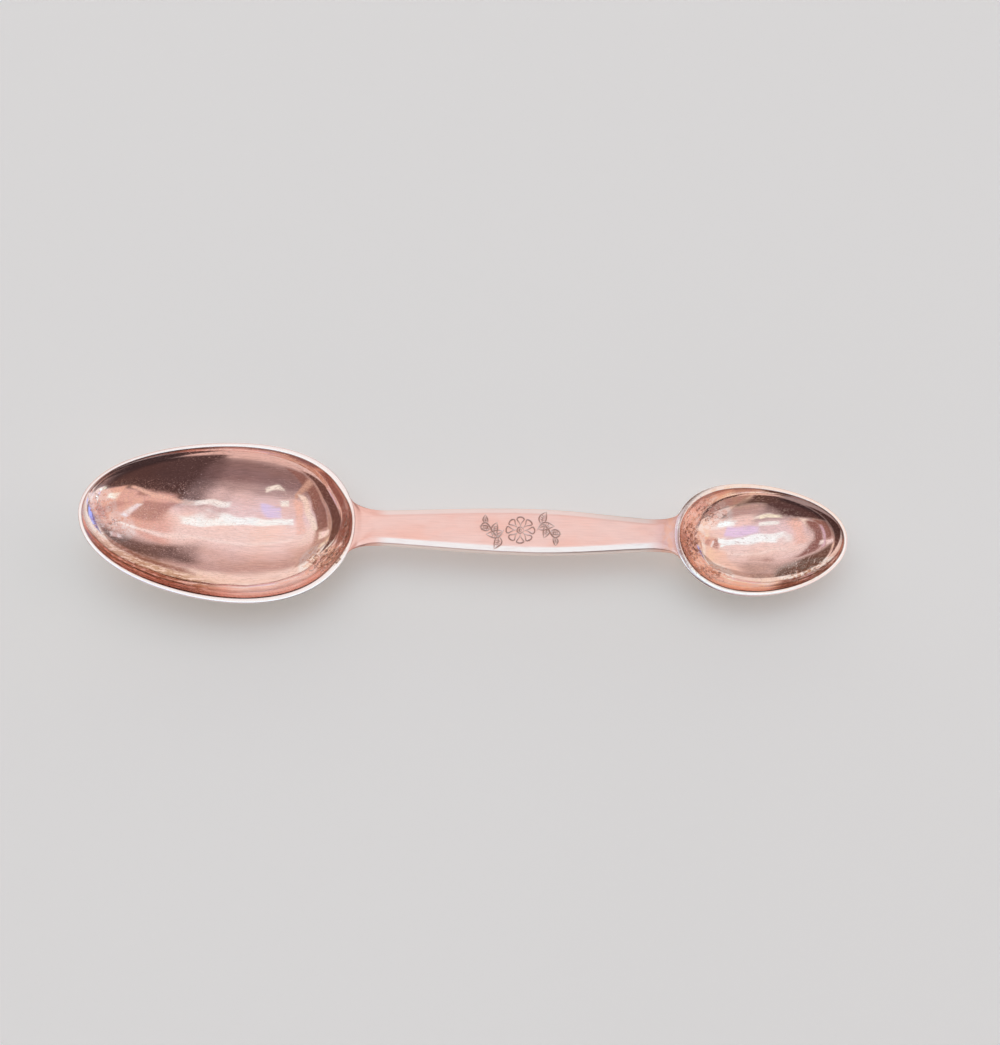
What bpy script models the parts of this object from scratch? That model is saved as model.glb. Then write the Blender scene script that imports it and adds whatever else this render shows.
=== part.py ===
"""Double-ended medicine spoon: a raised bowl at each end of a forged stem.

Metres, +Z up. X runs along the spoon, with the large bowl at -X and the small one
at +X. The spoon stands at Z = 0 on the worn flats under its two bowls. Each bowl is
raised from sheet, the stem is forged, and each root of the stem laps over the heel of
its bowl as a drop, with a fillet of solder round the lap.
"""

import math

import bmesh
import bpy
from mathutils import Vector

MM = 0.001

# Fit of the pieces
HEEL_HEIGHT = 8.4 * MM      # rim height at both heels, flush with the top of the stem
STEM_SPAN = 62.7 * MM       # from heel to heel
SEAT_GAP = 0.3 * MM         # clearance between the pieces of a soldered joint

# Walls of both bowls
WALL_THICKNESS = 0.9 * MM   # at the bottom
RIM_BAND = 0.95 * MM        # width of the flat rim beside the heel
TIP_BAND = 0.6 * MM         # width of the flat rim at the worn tip
RIM_ROUND = 0.16 * MM       # softened edges of the rim
WALL_SWEEP = math.radians(74)
FLOOR_CLIMB_SHARE = 0.08    # slope of the hollow's floor at its middle, up towards the tip

# Large bowl
LARGE_LENGTH = 53.4 * MM
LARGE_WIDTH = 34.6 * MM
LARGE_TIP_RISE = 4.4 * MM   # how far the tip stands above the heel
LARGE_RIM_DIP = 1.4 * MM    # how far the rim sags between heel and tip
LARGE_REST = 5.0 * MM       # length of the flat that it stands on
LARGE_FULLNESS_SHARE = 0.144
LARGE_SQUARENESS_SHARE = 0.095
LARGE_DEEPEST_SHARE = 0.31  # middle of the outer skin, from the heel
LARGE_HOLLOW_SHARE = 0.36   # middle of the inner skin, from the heel

# Small bowl
SMALL_LENGTH = 33.9 * MM
SMALL_WIDTH = 24.4 * MM
SMALL_TIP_RISE = 0.25 * MM
SMALL_RIM_DIP = 1.4 * MM
SMALL_REST = 4.0 * MM
SMALL_FULLNESS_SHARE = 0.134
SMALL_SQUARENESS_SHARE = 0.059
SMALL_DEEPEST_SHARE = 0.31
SMALL_HOLLOW_SHARE = 0.35

# Stem
STEM_WIDTH = 9.9 * MM       # at its widest
STEM_THICKNESS = 3.0 * MM   # at its widest
STEM_BEVEL = 1.25 * MM      # width of the bevel along each edge of the top
STEM_BEVEL_DROP = 0.6 * MM
STEM_LIP = 0.42 * MM        # the steeper edge of the bevel
STEM_FACET_DROP = 0.15 * MM     # how far the bevel falls before that edge
LARGE_NECK_WIDTH = 7.5 * MM
SMALL_NECK_WIDTH = 6.8 * MM
NECK_THICKNESS = 2.6 * MM
LARGE_ROOT_LENGTH = 5.2 * MM    # from the neck to the heel
SMALL_ROOT_LENGTH = 4.4 * MM
STEM_WIDEST_SHARE = 0.55
STEM_SWELL_POWER = 1.2
STEM_SIDE_POWER = 0.75

# Roots of the stem, where it laps over the heels
LARGE_SHOULDER = 11.8 * MM
SMALL_SHOULDER = 9.4 * MM
LARGE_DROP = 6.2 * MM       # how far the drop runs under the bowl
SMALL_DROP = 4.6 * MM
DROP_EDGE = 0.5 * MM        # thickness of the drop at its outer edge
FLARE_PULL_SHARE = 1.6

# Solder fillets, in the corner between each drop's edge and the bowl's back
SOLDER_WIDTH = 0.9 * MM
SOLDER_START = math.radians(14)

# Mesh fineness
LARGE_SEGMENTS = 80
SMALL_SEGMENTS = 64
WALL_LEVELS = 12
STEM_STATIONS = 16
FLARE_STEPS = 8
ROOT_COLUMNS = 16
SEAT_ROWS = 5
SOLDER_POINTS = 30
HOLLOW_STEPS = 4
SHARP_ANGLE = math.radians(28)

SPOON_LENGTH = LARGE_LENGTH + STEM_SPAN + SMALL_LENGTH
LARGE_HEEL_X = LARGE_LENGTH - SPOON_LENGTH / 2
SMALL_HEEL_X = SPOON_LENGTH / 2 - SMALL_LENGTH


class Bowl:
    """A spoon bowl as two skins, read by the angle round its rim and a level up its wall.

    The angle is zero at the tip and half a turn at the heel. Level 0 is the bottom
    centre and level 1 is the rim.
    """

    def __init__(self, name, heel_x, facing, length, width, tip_rise, rim_dip, rest,
                 fullness_share, squareness_share, deepest_share, hollow_share, segments):
        self.name = name
        self.heel_x = heel_x
        self.facing = facing
        self.length = length
        self.tip_rise = tip_rise
        self.rim_dip = rim_dip
        self.fullness_share = fullness_share
        self.squareness_share = squareness_share
        self.deepest = deepest_share * length
        self.hollow = hollow_share * length
        self.segments = segments
        self.half_width = width / 2 / max(self.spread(math.pi * step / segments)
                                          for step in range(segments))
        self.rest_level = math.asin(rest / length * math.sin(WALL_SWEEP)) / WALL_SWEEP

    def spread(self, angle):
        """Half width of the rim at an angle, as a share of the bowl's half width."""
        turn = math.cos(angle)
        swell = 1 - self.fullness_share * turn + self.squareness_share * turn * turn
        return math.sin(angle) * swell

    def rim_height(self, angle):
        """Height of the rim: it climbs from heel to tip and sags between them."""
        turn = math.cos(angle)
        return HEEL_HEIGHT + self.tip_rise * (1 + turn) / 2 - self.rim_dip * (1 - turn * turn)

    def rim_band(self, angle):
        """Width of the flat rim, worn thin towards the tip."""
        return RIM_BAND + (TIP_BAND - RIM_BAND) * (1 + math.cos(angle)) / 2

    def outline(self, angle, inset):
        """Plan point of the rim, moved inwards by an inset: distance from the heel, and Y."""
        turn, rise = math.cos(angle), math.sin(angle)
        along = self.length / 2 * (1 + turn)
        across = self.half_width * self.spread(angle)
        along_slope = -self.length / 2 * rise
        swell = 1 - self.fullness_share * turn + self.squareness_share * turn * turn
        swell_slope = self.fullness_share * rise - 2 * self.squareness_share * turn * rise
        across_slope = self.half_width * (turn * swell + rise * swell_slope)
        run = math.hypot(along_slope, across_slope)
        return along - inset * across_slope / run, across + inset * along_slope / run

    def place(self, along, across, height):
        """Point in space, from the distance to the heel, the Y and the height."""
        return Vector((self.heel_x + self.facing * along, across, height))

    def rim_point(self, angle, inset, drop):
        """Point of the rim, moved inwards by an inset and down by a drop."""
        along, across = self.outline(angle, inset)
        return self.place(along, across, self.rim_height(angle) - drop)

    def reach(self, level):
        """How far from its middle to the rim a skin has come at a level, as a share."""
        return math.sin(level * WALL_SWEEP) / math.sin(WALL_SWEEP)

    def skin_point(self, angle, level, inset, middle, floor, start):
        """Point of a skin that leaves the floor at the start level and ends under the rim."""
        reach = self.reach(level)
        climb = math.cos(start * WALL_SWEEP) - math.cos(level * WALL_SWEEP)
        climb_share = climb / (math.cos(start * WALL_SWEEP) - math.cos(WALL_SWEEP))
        along, across = self.outline(angle, inset)
        edge = self.rim_height(angle) - RIM_ROUND
        return self.place(middle + (along - middle) * reach, across * reach,
                          floor + (edge - floor) * climb_share)

    def outer(self, angle, level):
        """Point of the outer skin, which stands on its worn flat."""
        return self.skin_point(angle, level, 0, self.deepest, 0, self.rest_level)

    def inner(self, angle, level):
        """Point of the inner skin, whose floor climbs a little towards the tip."""
        point = self.skin_point(angle, level, self.rim_band(angle), self.hollow,
                                WALL_THICKNESS, 0)
        from_middle = (point.x - self.heel_x) * self.facing - self.hollow
        point.z += FLOOR_CLIMB_SHARE * from_middle * (1 - self.reach(level) ** 2)
        return point

    def outer_frame(self, angle, level):
        """Slopes of the outer skin by angle and by level, and its outward normal."""
        step = 0.001
        by_angle = self.outer(angle + step, level) - self.outer(angle - step, level)
        by_level = self.outer(angle, level + step) - self.outer(angle, level - step)
        normal = by_angle.cross(by_level).normalized() * self.facing
        return by_angle / (2 * step), by_level / (2 * step), normal

    def outside(self, angle, level, offset):
        """Point that stands off the outer skin by an offset."""
        return self.outer(angle, level) + self.outer_frame(angle, level)[2] * offset

    def angle_at(self, half_breadth):
        """How far from the heel, as an angle, the rim is as wide as the stem's shoulder."""
        low, high = 0.0, math.pi / 3
        for _ in range(40):
            middle = (low + high) / 2
            if self.outline(math.pi - middle, 0)[1] < half_breadth:
                low = middle
            else:
                high = middle
        return low

    def level_at(self, reach):
        """Level of the outer skin at a distance from the heel, along the middle."""
        share = 1 - reach / self.deepest
        return math.asin(share * math.sin(WALL_SWEEP)) / WALL_SWEEP


def add_ring(mesh, points):
    """Add a ring of vertices."""
    return [mesh.verts.new(point) for point in points]


def bridge(mesh, first, second, closed=True):
    """Join two rings, or two rows, of equal length with faces."""
    count = len(first)
    for index in range(count if closed else count - 1):
        follower = (index + 1) % count
        mesh.faces.new((first[index], first[follower], second[follower], second[index]))


def finish_object(name, mesh, color, roughness):
    """Make an object of a mesh, with its own metal."""
    bmesh.ops.remove_doubles(mesh, verts=mesh.verts, dist=SEAT_GAP / 100)
    bmesh.ops.recalc_face_normals(mesh, faces=mesh.faces)
    data = bpy.data.meshes.new(name)
    mesh.to_mesh(data)
    mesh.free()
    data.shade_smooth()
    data.set_sharp_from_angle(angle=SHARP_ANGLE)
    metal = bpy.data.materials.new(name)
    metal.use_nodes = True
    shader = metal.node_tree.nodes["Principled BSDF"]
    shader.inputs["Base Color"].default_value = color
    shader.inputs["Roughness"].default_value = roughness
    shader.inputs["Metallic"].default_value = 1.0
    data.materials.append(metal)
    made = bpy.data.objects.new(name, data)
    bpy.context.collection.objects.link(made)
    return made


def make_bowl(bowl):
    """Raise a bowl: outer skin, softened flat rim and inner skin."""
    mesh = bmesh.new()
    angles = [2 * math.pi * step / bowl.segments for step in range(bowl.segments)]
    rings = []
    for step in range(WALL_LEVELS + 1):
        level = bowl.rest_level + (1 - bowl.rest_level) * step / WALL_LEVELS
        rings.append(add_ring(mesh, [bowl.outer(angle, level) for angle in angles]))
    rings.append(add_ring(mesh, [bowl.rim_point(angle, RIM_ROUND, 0) for angle in angles]))
    rings.append(add_ring(mesh, [bowl.rim_point(angle, bowl.rim_band(angle) - RIM_ROUND, 0)
                                 for angle in angles]))
    for step in range(WALL_LEVELS, 0, -1):
        rings.append(add_ring(mesh, [bowl.inner(angle, step / WALL_LEVELS) for angle in angles]))
    for lower, upper in zip(rings, rings[1:]):
        bridge(mesh, lower, upper)
    mesh.faces.new(reversed(rings[0]))
    bottom = mesh.verts.new(bowl.inner(0, 0))
    last = rings[-1]
    for index, vertex in enumerate(last):
        mesh.faces.new((vertex, last[(index + 1) % len(last)], bottom))
    return finish_object(bowl.name, mesh, (0.83, 0.67, 0.62, 1), 0.2)


class Root:
    """One root of the stem: its lap on a bowl's heel, and the flare from neck to lap."""

    def __init__(self, bowl, shoulder, drop, length, neck_width):
        self.bowl = bowl
        self.half_angle = bowl.angle_at(shoulder / 2)
        self.fall = 1 - bowl.level_at(drop)
        self.neck_x = bowl.heel_x - bowl.facing * length
        self.neck_width = neck_width

    def path(self, column):
        """Angle and level of the lap's edge at a column; it arches from shoulder to shoulder."""
        turn = math.pi * column / ROOT_COLUMNS
        angle = math.pi - self.half_angle * math.cos(turn)
        return angle, 1 - self.fall * math.sin(turn), turn

    def outward(self, column):
        """Direction along the bowl's skin, square out of the lap's edge."""
        angle, level, turn = self.path(column)
        by_angle, by_level, _ = self.bowl.outer_frame(angle, level)
        run = -by_angle * self.half_angle * math.cos(turn) - by_level * self.fall * math.sin(turn)
        return run.normalized()

    def top_edge(self, column):
        """Point of the stem's top where it meets the rim at the heel."""
        return self.bowl.rim_point(self.path(column)[0], -SEAT_GAP, 0)

    def lap_edge(self, column):
        """Outer point of the lap's blunt edge."""
        if column in (0, ROOT_COLUMNS):
            return self.top_edge(column)
        angle, level, turn = self.path(column)
        return self.bowl.outside(angle, level, SEAT_GAP + DROP_EDGE * math.sqrt(math.sin(turn)))

    def seat_column(self, column):
        """Points of the seat down one column, from the rim to the lap's edge."""
        top = self.top_edge(column)
        if column in (0, ROOT_COLUMNS):
            return [top] * (SEAT_ROWS + 1)
        angle, level, _ = self.path(column)
        rows = [1 - (1 - level) * row / (SEAT_ROWS - 1) for row in range(SEAT_ROWS)]
        return [top] + [self.bowl.outside(angle, row, SEAT_GAP) for row in rows]

    def end_ring(self):
        """Ring where the flare ends: under the lap's edge and back along the rim."""
        under = [self.lap_edge(column) for column in range(ROOT_COLUMNS + 1)]
        over = [self.top_edge(column) for column in range(ROOT_COLUMNS - 1, 0, -1)]
        return under + over

    def end_pulls(self):
        """Direction in which the flare runs into each point of the end ring."""
        ahead = Vector((self.bowl.facing, 0, 0))
        under = [self.outward(column) for column in range(ROOT_COLUMNS + 1)]
        over = []
        for column in range(ROOT_COLUMNS - 1, 0, -1):
            side = abs(math.cos(math.pi * column / ROOT_COLUMNS)) ** 3
            rim_run = self.outward(0 if column < ROOT_COLUMNS / 2 else ROOT_COLUMNS)
            over.append(ahead.lerp(rim_run, side))
        return under + over

    def flare(self):
        """Rings between the neck and the heel, then the end ring itself."""
        ahead = Vector((self.bowl.facing, 0, 0))
        neck = section(self.neck_x, self.neck_width, NECK_THICKNESS)
        ends, pulls = self.end_ring(), self.end_pulls()
        rings = []
        for step in range(1, FLARE_STEPS):
            share = step / FLARE_STEPS
            ring = []
            for start, end, pull in zip(neck, ends, pulls):
                run = abs(end.x - start.x)
                swing = math.hypot(end.y - start.y, end.z - start.z)
                swing = max(swing, run * abs(pull.x))
                leave = ahead * run * FLARE_PULL_SHARE
                ring.append(blend(start, leave, end, pull * swing * FLARE_PULL_SHARE, share))
            rings.append(ring)
        return rings + [ends]


def blend(start, leave, end, arrive, share):
    """Point of the cubic that leaves one point and arrives at another with given slopes."""
    square, cube = share * share, share * share * share
    return (start * (2 * cube - 3 * square + 1) + leave * (cube - 2 * square + share)
            + end * (3 * square - 2 * cube) + arrive * (cube - square))


def section(x, width, thickness):
    """Cross-section of the stem: round below, flat above, with a bevel along each edge."""
    half = width / 2
    side = HEEL_HEIGHT - STEM_BEVEL_DROP
    under = []
    for column in range(ROOT_COLUMNS + 1):
        turn = math.pi * column / ROOT_COLUMNS
        across = math.copysign(abs(math.cos(turn)) ** STEM_SIDE_POWER, math.cos(turn))
        depth = abs(math.sin(turn)) ** STEM_SIDE_POWER
        under.append(Vector((x, half * across, side - (thickness - STEM_BEVEL_DROP) * depth)))
    flat = half - STEM_BEVEL
    over = [Vector((x, -half + STEM_LIP, HEEL_HEIGHT - STEM_FACET_DROP))]
    flats = ROOT_COLUMNS - 4
    over += [Vector((x, flat * (2 * step / flats - 1), HEEL_HEIGHT)) for step in range(flats + 1)]
    over.append(Vector((x, half - STEM_LIP, HEEL_HEIGHT - STEM_FACET_DROP)))
    return under + over


def stem_sections(large, small):
    """Sections between the two necks, with the swell of the stem between them."""
    widest_x = large.neck_x + STEM_WIDEST_SHARE * (small.neck_x - large.neck_x)
    rings = []
    for step in range(STEM_STATIONS + 1):
        x = large.neck_x + (small.neck_x - large.neck_x) * step / STEM_STATIONS
        neck = large if x < widest_x else small
        share = (x - neck.neck_x) / (widest_x - neck.neck_x)
        swell = math.sin(math.pi / 2 * share ** STEM_SWELL_POWER)
        width = neck.neck_width + (STEM_WIDTH - neck.neck_width) * swell
        thickness = NECK_THICKNESS + (STEM_THICKNESS - NECK_THICKNESS) * swell
        rings.append(section(x, width, thickness))
    return rings


def make_stem(large, small):
    """Forge the stem: the bevelled bar, and at each end a flare that laps a heel."""
    mesh = bmesh.new()
    points = list(reversed(large.flare())) + stem_sections(large, small) + small.flare()
    rings = [add_ring(mesh, ring) for ring in points]
    for first, second in zip(rings, rings[1:]):
        bridge(mesh, first, second)
    for root, ring in ((large, rings[0]), (small, rings[-1])):
        columns = [add_ring(mesh, root.seat_column(column)) for column in range(ROOT_COLUMNS + 1)]
        for first, second in zip(columns, columns[1:]):
            bridge(mesh, first, second, closed=False)
        feet = [column[-1] for column in columns]
        bridge(mesh, ring[:ROOT_COLUMNS + 1], feet, closed=False)
    return finish_object("stem", mesh, (0.86, 0.70, 0.66, 1), 0.28)


def make_fillet(name, root):
    """Run a hollow fillet of solder round the edge of a lap, on the bowl's back."""
    mesh = bmesh.new()
    rings = []
    for step in range(SOLDER_POINTS):
        turn = SOLDER_START + (math.pi - 2 * SOLDER_START) * step / (SOLDER_POINTS - 1)
        column = turn / math.pi * ROOT_COLUMNS
        angle, level, _ = root.path(column)
        normal = root.bowl.outer_frame(angle, level)[2]
        outward = root.outward(column)
        taper = math.sqrt(math.sin(turn))
        corner = root.bowl.outer(angle, level) + (normal + outward) * SEAT_GAP
        ring = [corner]
        for stop in range(HOLLOW_STEPS + 1):
            swing = math.pi / 2 * stop / HOLLOW_STEPS
            width = SOLDER_WIDTH * (1 - math.sin(swing)) * taper
            height = DROP_EDGE * (1 - math.cos(swing)) * taper
            ring.append(corner + outward * width + normal * height)
        rings.append(add_ring(mesh, ring))
    for first, second in zip(rings, rings[1:]):
        bridge(mesh, first, second)
    mesh.faces.new(rings[0])
    mesh.faces.new(rings[-1])
    return finish_object(name, mesh, (0.72, 0.60, 0.52, 1), 0.35)


def build_spoon():
    """Build the pieces and group them under one empty."""
    for old in list(bpy.data.objects):
        bpy.data.objects.remove(old)
    large = Bowl("large_bowl", LARGE_HEEL_X, -1, LARGE_LENGTH, LARGE_WIDTH, LARGE_TIP_RISE,
                 LARGE_RIM_DIP, LARGE_REST, LARGE_FULLNESS_SHARE, LARGE_SQUARENESS_SHARE,
                 LARGE_DEEPEST_SHARE, LARGE_HOLLOW_SHARE, LARGE_SEGMENTS)
    small = Bowl("small_bowl", SMALL_HEEL_X, 1, SMALL_LENGTH, SMALL_WIDTH, SMALL_TIP_RISE,
                 SMALL_RIM_DIP, SMALL_REST, SMALL_FULLNESS_SHARE, SMALL_SQUARENESS_SHARE,
                 SMALL_DEEPEST_SHARE, SMALL_HOLLOW_SHARE, SMALL_SEGMENTS)
    large_root = Root(large, LARGE_SHOULDER, LARGE_DROP, LARGE_ROOT_LENGTH, LARGE_NECK_WIDTH)
    small_root = Root(small, SMALL_SHOULDER, SMALL_DROP, SMALL_ROOT_LENGTH, SMALL_NECK_WIDTH)
    pieces = [make_bowl(large), make_bowl(small), make_stem(large_root, small_root),
              make_fillet("large_solder_fillet", large_root),
              make_fillet("small_solder_fillet", small_root)]
    spoon = bpy.data.objects.new("medicine_spoon", None)
    bpy.context.collection.objects.link(spoon)
    for piece in pieces:
        piece.parent = spoon


build_spoon()
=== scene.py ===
"""Looks of a double-ended medicine spoon in worn, rose-toned silver.

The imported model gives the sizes. Around it this script models the two raised bowls, the
forged stem with its engraved spray of leaves, and the two runs of solder under the heels,
each in the place of its own CAD node, and sets them on a pale studio floor.

X runs along the spoon, with the large bowl at -X, and the spoon stands at Z = 0.
"""

import logging
import math
from dataclasses import dataclass, field
from enum import Enum

import bmesh
import bpy
import numpy as np
from mathutils import Matrix, Vector


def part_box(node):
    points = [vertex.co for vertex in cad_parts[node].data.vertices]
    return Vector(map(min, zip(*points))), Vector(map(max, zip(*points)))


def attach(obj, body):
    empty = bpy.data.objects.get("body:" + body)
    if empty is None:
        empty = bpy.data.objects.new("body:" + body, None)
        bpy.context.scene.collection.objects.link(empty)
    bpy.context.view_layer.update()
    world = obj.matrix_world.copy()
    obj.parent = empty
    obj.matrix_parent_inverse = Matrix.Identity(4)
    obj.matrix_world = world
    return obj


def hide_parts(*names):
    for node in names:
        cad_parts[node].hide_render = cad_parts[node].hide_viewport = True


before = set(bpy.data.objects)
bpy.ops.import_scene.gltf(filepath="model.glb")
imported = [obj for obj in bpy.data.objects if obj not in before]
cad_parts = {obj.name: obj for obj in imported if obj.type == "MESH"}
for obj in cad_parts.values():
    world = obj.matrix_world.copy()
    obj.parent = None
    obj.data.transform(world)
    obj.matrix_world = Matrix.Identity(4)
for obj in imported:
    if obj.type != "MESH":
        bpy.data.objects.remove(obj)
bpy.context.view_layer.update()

MM = 0.001
BODY = "root"
LOG = logging.getLogger("spoon")

Color = tuple[float, float, float]
Point = tuple[float, float]


class End(Enum):
    """The two ends of the spoon, each with the way along X in which its bowl points."""

    LARGE = -1
    SMALL = 1


class Slot(Enum):
    """The record's material slots."""

    BOWL = "bowl_silver"
    STEM = "stem_silver"
    SOLDER = "silver_solder"


class Mask(Enum):
    """Point attributes: those that the finishes read, then two that guide the making."""

    # Wear and highlight is real wear, with a painted highlight on the stem; the under-rim shade is
    # painted shade; pale is a painted reflection on the near wall; the dark reflection is painted on
    # the far wall.
    WEAR_AND_HIGHLIGHT = "worn"
    TARNISH = "tarnish"
    UNDER_RIM_SHADE = "under_rim_shade"
    CUT = "cut"
    GOLD = "gold"
    PALE = "pale"
    DARK_REFLECTION = "dark_reflection"
    ANGLE = "angle"
    CORNER = "corner"


def smooth(value: np.ndarray) -> np.ndarray:
    """Ease a value from 0 to 1, flat at both ends."""
    held = np.clip(value, 0.0, 1.0)
    return held * held * (3 - 2 * held)


def unit(vectors: np.ndarray) -> np.ndarray:
    """Scale an array of vectors to length one."""
    return vectors / np.linalg.norm(vectors, axis=-1, keepdims=True)


def closed(rows: np.ndarray) -> np.ndarray:
    """Close each row by repeating its first entry at its end."""
    return np.concatenate([rows, rows[:, :1]], axis=1)


def polar(radius: np.ndarray, heading: np.ndarray) -> np.ndarray:
    """Points in plan, from how far off they lie and their heading."""
    return np.stack([radius * np.cos(heading), radius * np.sin(heading)], axis=-1)


class Workpiece:
    """A mesh object under the hand: one selected object, its points and its masks."""

    def __init__(self, name: str) -> None:
        """Take the object that an operator has just added, and name it.

        Args:
            name: Name of the piece.
        """
        self.body = bpy.context.active_object
        self.body.name = name
        self.body.data.name = name
        bpy.ops.object.transform_apply(location=True, rotation=True, scale=True)

    @staticmethod
    def clear_bench() -> None:
        """Leave edit mode and deselect everything."""
        if bpy.context.mode != "OBJECT":
            bpy.ops.object.mode_set(mode="OBJECT")
        bpy.ops.object.select_all(action="DESELECT")

    def take_up(self) -> None:
        """Select this object alone."""
        self.clear_bench()
        self.body.select_set(True)
        bpy.context.view_layer.objects.active = self.body

    def edit(self) -> None:
        """Enter edit mode with the whole mesh selected."""
        self.take_up()
        bpy.ops.object.mode_set(mode="EDIT")
        bpy.ops.mesh.select_mode(type="VERT")
        bpy.ops.mesh.select_all(action="SELECT")

    def points(self) -> np.ndarray:
        """Read the points of the mesh.

        Returns:
            Array of n by 3 coordinates, in metres.
        """
        flat = np.empty(len(self.body.data.vertices) * 3)
        self.body.data.vertices.foreach_get("co", flat)
        return flat.reshape(-1, 3)

    def move_to(self, points: np.ndarray) -> None:
        """Put the points of the mesh at new places."""
        self.body.data.vertices.foreach_set("co", points.astype(np.float32).ravel())
        self.body.data.update()

    def mark(self, mask: Mask, values: np.ndarray) -> None:
        """Store one number for each point.

        Args:
            mask: The attribute that holds them.
            values: The numbers, one for each point.
        """
        held = self.body.data.attributes.get(mask.value)
        layer = held or self.body.data.attributes.new(mask.value, "FLOAT", "POINT")
        layer.data.foreach_set("value", np.asarray(values, np.float32))

    def wipe(self, mask: Mask) -> None:
        """Remove an attribute that only guided the making."""
        self.body.data.attributes.remove(self.body.data.attributes[mask.value])

    def join(self, *others: "Workpiece") -> None:
        """Join other workpieces into this one."""
        self.take_up()
        for other in others:
            other.body.select_set(True)
        bpy.ops.object.join()

    def open_edges(self) -> None:
        """In edit mode, select the open edges alone."""
        bpy.ops.mesh.select_mode(type="EDGE")
        bpy.ops.mesh.select_all(action="DESELECT")
        bpy.ops.mesh.select_non_manifold(extend=False, use_wire=False, use_boundary=True,
                                         use_multi_face=False, use_non_contiguous=False,
                                         use_verts=False)

    def weld(self, distance: float) -> None:
        """Merge the points that lie together, and turn all faces outwards."""
        self.edit()
        bpy.ops.mesh.remove_doubles(threshold=distance)
        bpy.ops.mesh.normals_make_consistent(inside=False)
        self.take_up()

    def finish(self, node: str, slot: Slot, metal: bpy.types.Material) -> bpy.types.Object:
        """Dress the piece and set it in the place of its CAD node.

        Args:
            node: The CAD node that the piece stands for.
            slot: Not used.
            metal: The material that it wears.

        Returns:
            The finished object, riding on the spoon's body.
        """
        self.take_up()
        bpy.ops.object.shade_smooth()
        self.body.data.materials.clear()
        self.body.data.materials.append(metal)
        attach(self.body, BODY)
        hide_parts(node)
        triangles = sum(len(face.vertices) - 2 for face in self.body.data.polygons)
        LOG.info("%s: %d triangles", self.body.name, triangles)
        return self.body


@dataclass(frozen=True)
class Unevenness:
    """The faint waves that a hammer and a polishing stone leave in a raised skin."""

    seed: int
    height: float
    shortest: float
    longest: float
    waves: int = 11

    def at(self, across: np.ndarray, along: np.ndarray) -> np.ndarray:
        """Height of the waves over a plane.

        Args:
            across: First coordinate, in metres.
            along: Second coordinate, in metres.

        Returns:
            Heights, in metres, about zero.
        """
        draw = np.random.default_rng(self.seed)
        total = np.zeros_like(across)
        for _ in range(self.waves):
            heading, phase = draw.uniform(0, math.tau, 2)
            pace = math.tau / draw.uniform(self.shortest, self.longest)
            run = across * math.cos(heading) + along * math.sin(heading)
            total += np.sin(run * pace + phase)
        return total * self.height / math.sqrt(self.waves)


@dataclass(frozen=True)
class Patch:
    """An oval stain inside a bowl, measured from its heel."""

    kind: Mask
    along: float
    across: float
    reach: float
    spread: float
    strength: float


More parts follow.
